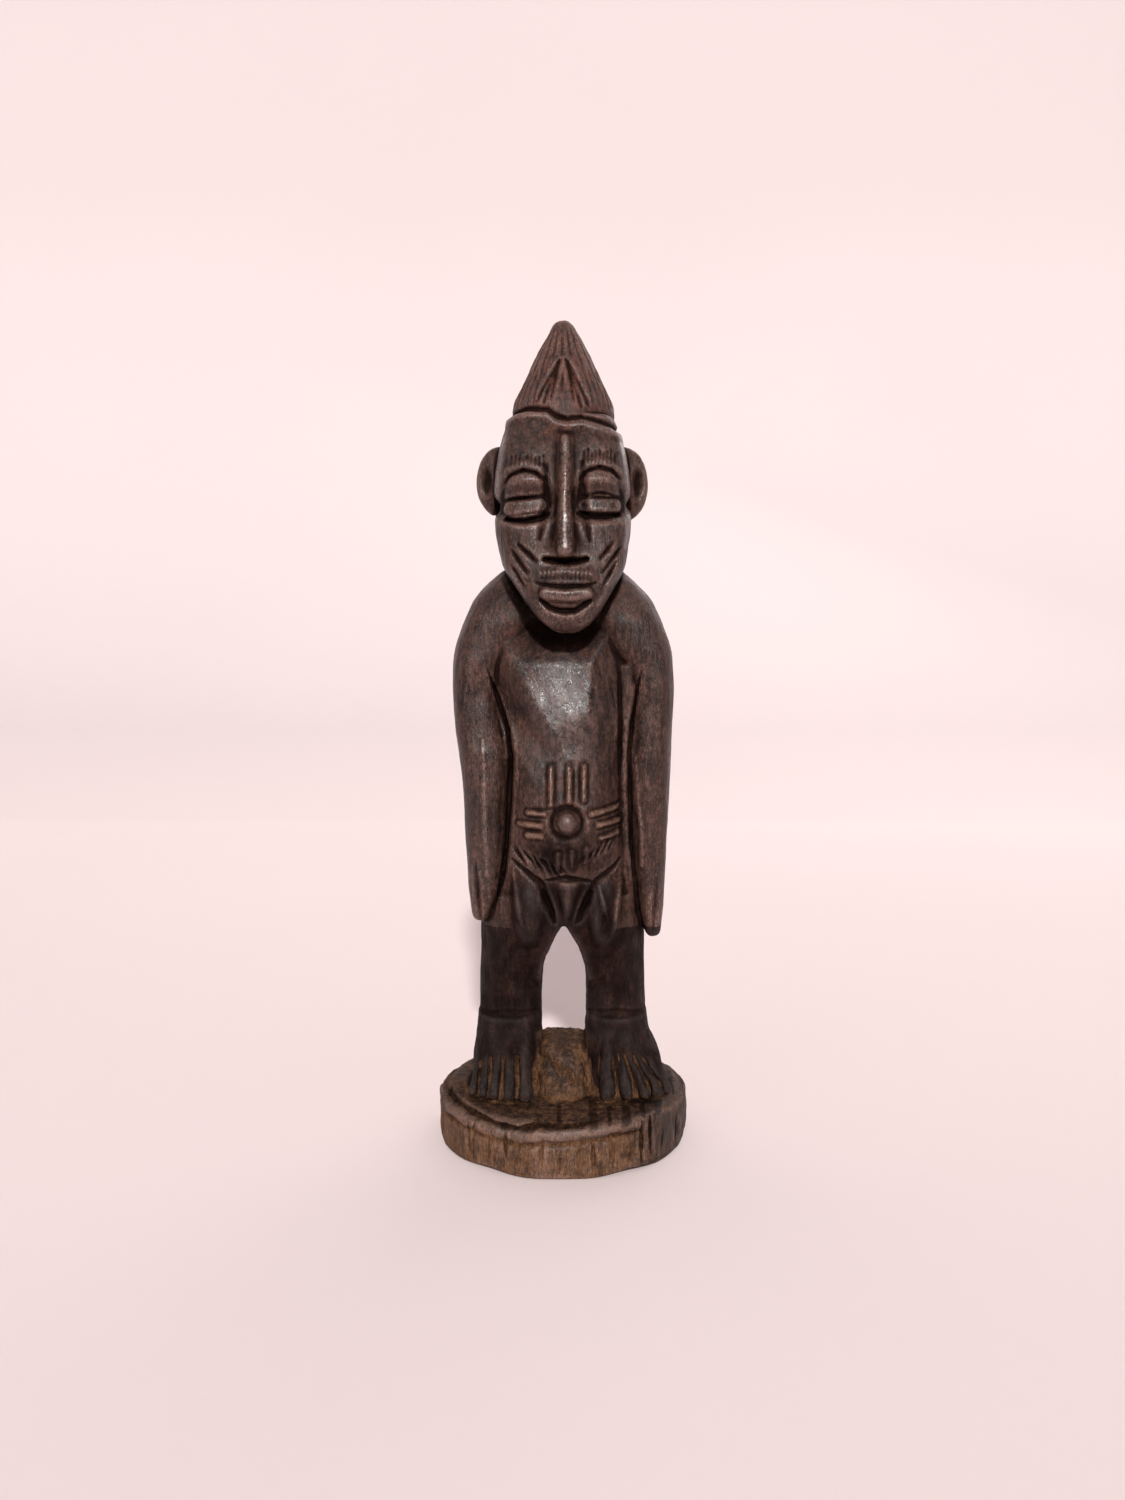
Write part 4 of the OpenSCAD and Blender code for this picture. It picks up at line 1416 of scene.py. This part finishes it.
# %% [markdown]
# ## The cutting list
# The pieces are cut from the base upwards. Feet, legs, arms and ears come in pairs, and what stands
# between them is cut from the same level.

# %% Base, feet, legs and loins
bm = slab(-5, BASE_TOP)
trim(bm, 2, BASE_TOP, False)
finish_piece(bm, "base_disc", "base_wood", "base")
feet = level(BASE_TOP, ANKLE)
between(feet.copy(), HUMP_X, "hump", "base_wood", "foot_hump")
pair(feet, HUMP_X, ("foot_right", "right_foot"), ("foot_left", "left_foot"))
pair(level(ANKLE, CROTCH), 0, ("leg_right", "right_leg"), ("leg_left", "left_leg"))
between(level(CROTCH, WAIST), ARM_X, "loins_block", "patinated_wood", "loins")

# %% [markdown]
# ## Torso and head
# The chin hangs lower than the neck and further forward, so torso and head meet in a corner and not
# in one plane. `take_out` cuts both planes, drops the wood of the other piece and closes the corner.

# %% Arms, torso, neck, head, ears and coiffure
pair(level(CROTCH, SKULL), ARM_X, ("arm_right", "right_arm"), ("arm_left", "left_arm"))
bm = slab(WAIST, NAPE)
trim(bm, 2, WAIST, True)
trim(bm, 2, NAPE, False, close=False)
take_out(bm, NAPE, lambda c: not (c.y < THROAT_Y and c.z > CHIN - 1.5) and c.z < NAPE)
cap(bm, 2, NAPE, 1)
cap(bm, 1, THROAT_Y, -1)
between(bm, ARM_X, "torso_block", "patinated_wood", "torso", "navel")
bm = level(NAPE, SKULL)
trim(bm, 1, THROAT_Y, True)
between(bm, ARM_X, "neck_block", "patinated_wood", "neck")
bm = slab(CHIN - 1.5, HAIR)
trim(bm, 2, HAIR, False)
take_out(bm, SKULL, lambda c: (c.z > SKULL or c.y < THROAT_Y) and c.z > CHIN - 1.5)
cap(bm, 2, SKULL, -1)
cap(bm, 1, THROAT_Y, 1)
between(bm, EAR_X, "head_mask", "patinated_wood", "head")
pair(level(SKULL, HAIR), EAR_X, ("ear_right", "right_ear"), ("ear_left", "left_ear"))
bm = slab(HAIR, TIP + 5)
trim(bm, 2, HAIR, True)
finish_piece(bm, "coiffure_cone", "reddish_wood", "coiffure")
bpy.data.objects.remove(sculpt)
print("pieces", len(pieces), "faces", sum(len(p.data.polygons) for p in pieces))

# %% [markdown]
# ## Floor, light and camera
# A plain pale floor curves up behind the figure. One small lamp high in front throws the crisp shadow
# under the chin, and a pale sky fills the rest. The camera looks slightly down from a hand's distance.

# %% Floor
def plain(name, colour):
    material = bpy.data.materials.new(name)
    material.use_nodes = True
    t = Tree(material.node_tree)
    shader = material.node_tree.nodes["Principled BSDF"]
    place = t.node("ShaderNodeTexCoord").outputs["Object"]
    shade = t.ramp(t.noise(place, 3.0, 2), 0.3, 0.7)
    height = t.node("ShaderNodeSeparateXYZ")
    t.feed(height.inputs[0], place)
    near = t.mix(shade, colour + (1,), tuple(c * 0.985 for c in colour) + (1,))
    rise = t.math("POWER", t.math("MAXIMUM", height.outputs[2], 0.0), 0.5)
    kept = t.math("DIVIDE", 1.0, t.add(1.0, t.mul(rise, 1.65)))
    kept = t.math("MAXIMUM", kept, 0.76)
    t.feed(shader.inputs["Base Color"], t.mix(kept, (0, 0, 0, 1), near))
    t.feed(shader.inputs["Roughness"], t.ramp(shade, 0, 1, 0.9, 0.95))
    return material


BEND_Y, BEND_R, HALF_WIDTH = 0.45, 0.5, 3.0
bend = np.linspace(0.08, math.pi / 2, 24)
sweep = [(-2.5, 0.0), (BEND_Y, 0.0)]
sweep += [(BEND_Y + BEND_R * math.sin(a), BEND_R - BEND_R * math.cos(a)) for a in bend]
sweep += [(0.95, 3.0)]
floor_points = [(side * HALF_WIDTH, py, pz) for py, pz in sweep for side in (-1, 1)]
floor_faces = [(2 * i, 2 * i + 1, 2 * i + 3, 2 * i + 2) for i in range(len(sweep) - 1)]
floor_mesh = bpy.data.meshes.new("floor")
floor_mesh.from_pydata(floor_points, [], floor_faces)
floor_mesh.shade_smooth()
floor_mesh.materials.append(plain("pale_paper", (0.788, 0.69, 0.69)))
floor = bpy.data.objects.new("floor", floor_mesh)
bpy.context.scene.collection.objects.link(floor)
floor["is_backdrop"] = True

# %% [markdown]
# ## Light
# A small hard sun high in front throws the shadow under the chin. Two weak panels lift the sides, and
# a pale sky keeps the shadows from going black.

# %% Light
world = bpy.data.worlds.new("studio")
bpy.context.scene.world = world
world.use_nodes = True
t = Tree(world.node_tree)
sky = world.node_tree.nodes["Background"]
up = t.node("ShaderNodeSeparateXYZ")
t.feed(up.inputs[0], t.node("ShaderNodeTexCoord").outputs["Generated"])
sky.inputs[0].default_value = (1.0, 0.93, 0.92, 1)
t.feed(sky.inputs[1], t.ramp(up.outputs[2], 0.15, 0.95, 0.1, 0.45))


def lamp(name, kind, place, size, power, colour=(1, 0.97, 0.95)):
    light = bpy.data.lights.new(name, kind)
    light.energy, light.color = power, colour
    if kind == "SUN":
        light.angle = size
    else:
        light.size = size
    obj = bpy.data.objects.new(name, light)
    obj.location = place
    towards = Vector((0, 0, 0.09)) - Vector(place)
    obj.rotation_euler = towards.to_track_quat("-Z", "Y").to_euler()
    bpy.context.scene.collection.objects.link(obj)


lamp("key", "SUN", (0.03, -0.55, 0.37), math.radians(3.0), 3.9)
lamp("fill", "AREA", (-0.5, -0.7, 0.35), 0.4, 0.3)
lamp("back", "AREA", (0.3, 0.6, 0.5), 0.5, 0.8)
bpy.context.scene.view_settings.view_transform = "Standard"

# %% [markdown]
# ## Camera
# The camera stands 0.3 m in front and looks 6 degrees down, with the whole figure in view.

# %% Camera
view = bpy.data.cameras.new("camera")
view.lens, view.sensor_width = 32, 36
camera = bpy.data.objects.new("camera", view)
TILT, AWAY, AIM = math.radians(6), 0.3, 88.5 * MM
target = Vector((0, 0, AIM))
camera.location = target + Vector((0, -math.cos(TILT), math.sin(TILT))) * AWAY
camera.rotation_euler = (target - camera.location).to_track_quat("-Z", "Y").to_euler()
bpy.context.scene.collection.objects.link(camera)
bpy.context.scene.camera = camera

# %% [markdown]
# ## Sizes
# The last cell writes down how large the CAD and the finished model are, so that they can be compared.

# %% Sizes
box_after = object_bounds()


def plain_lists(box):
    return [list(corner) if hasattr(corner, "__len__") else corner for corner in box]


{"cad": plain_lists(box_before), "visual": plain_lists(box_after)}
print("box before", box_before, "after", box_after)
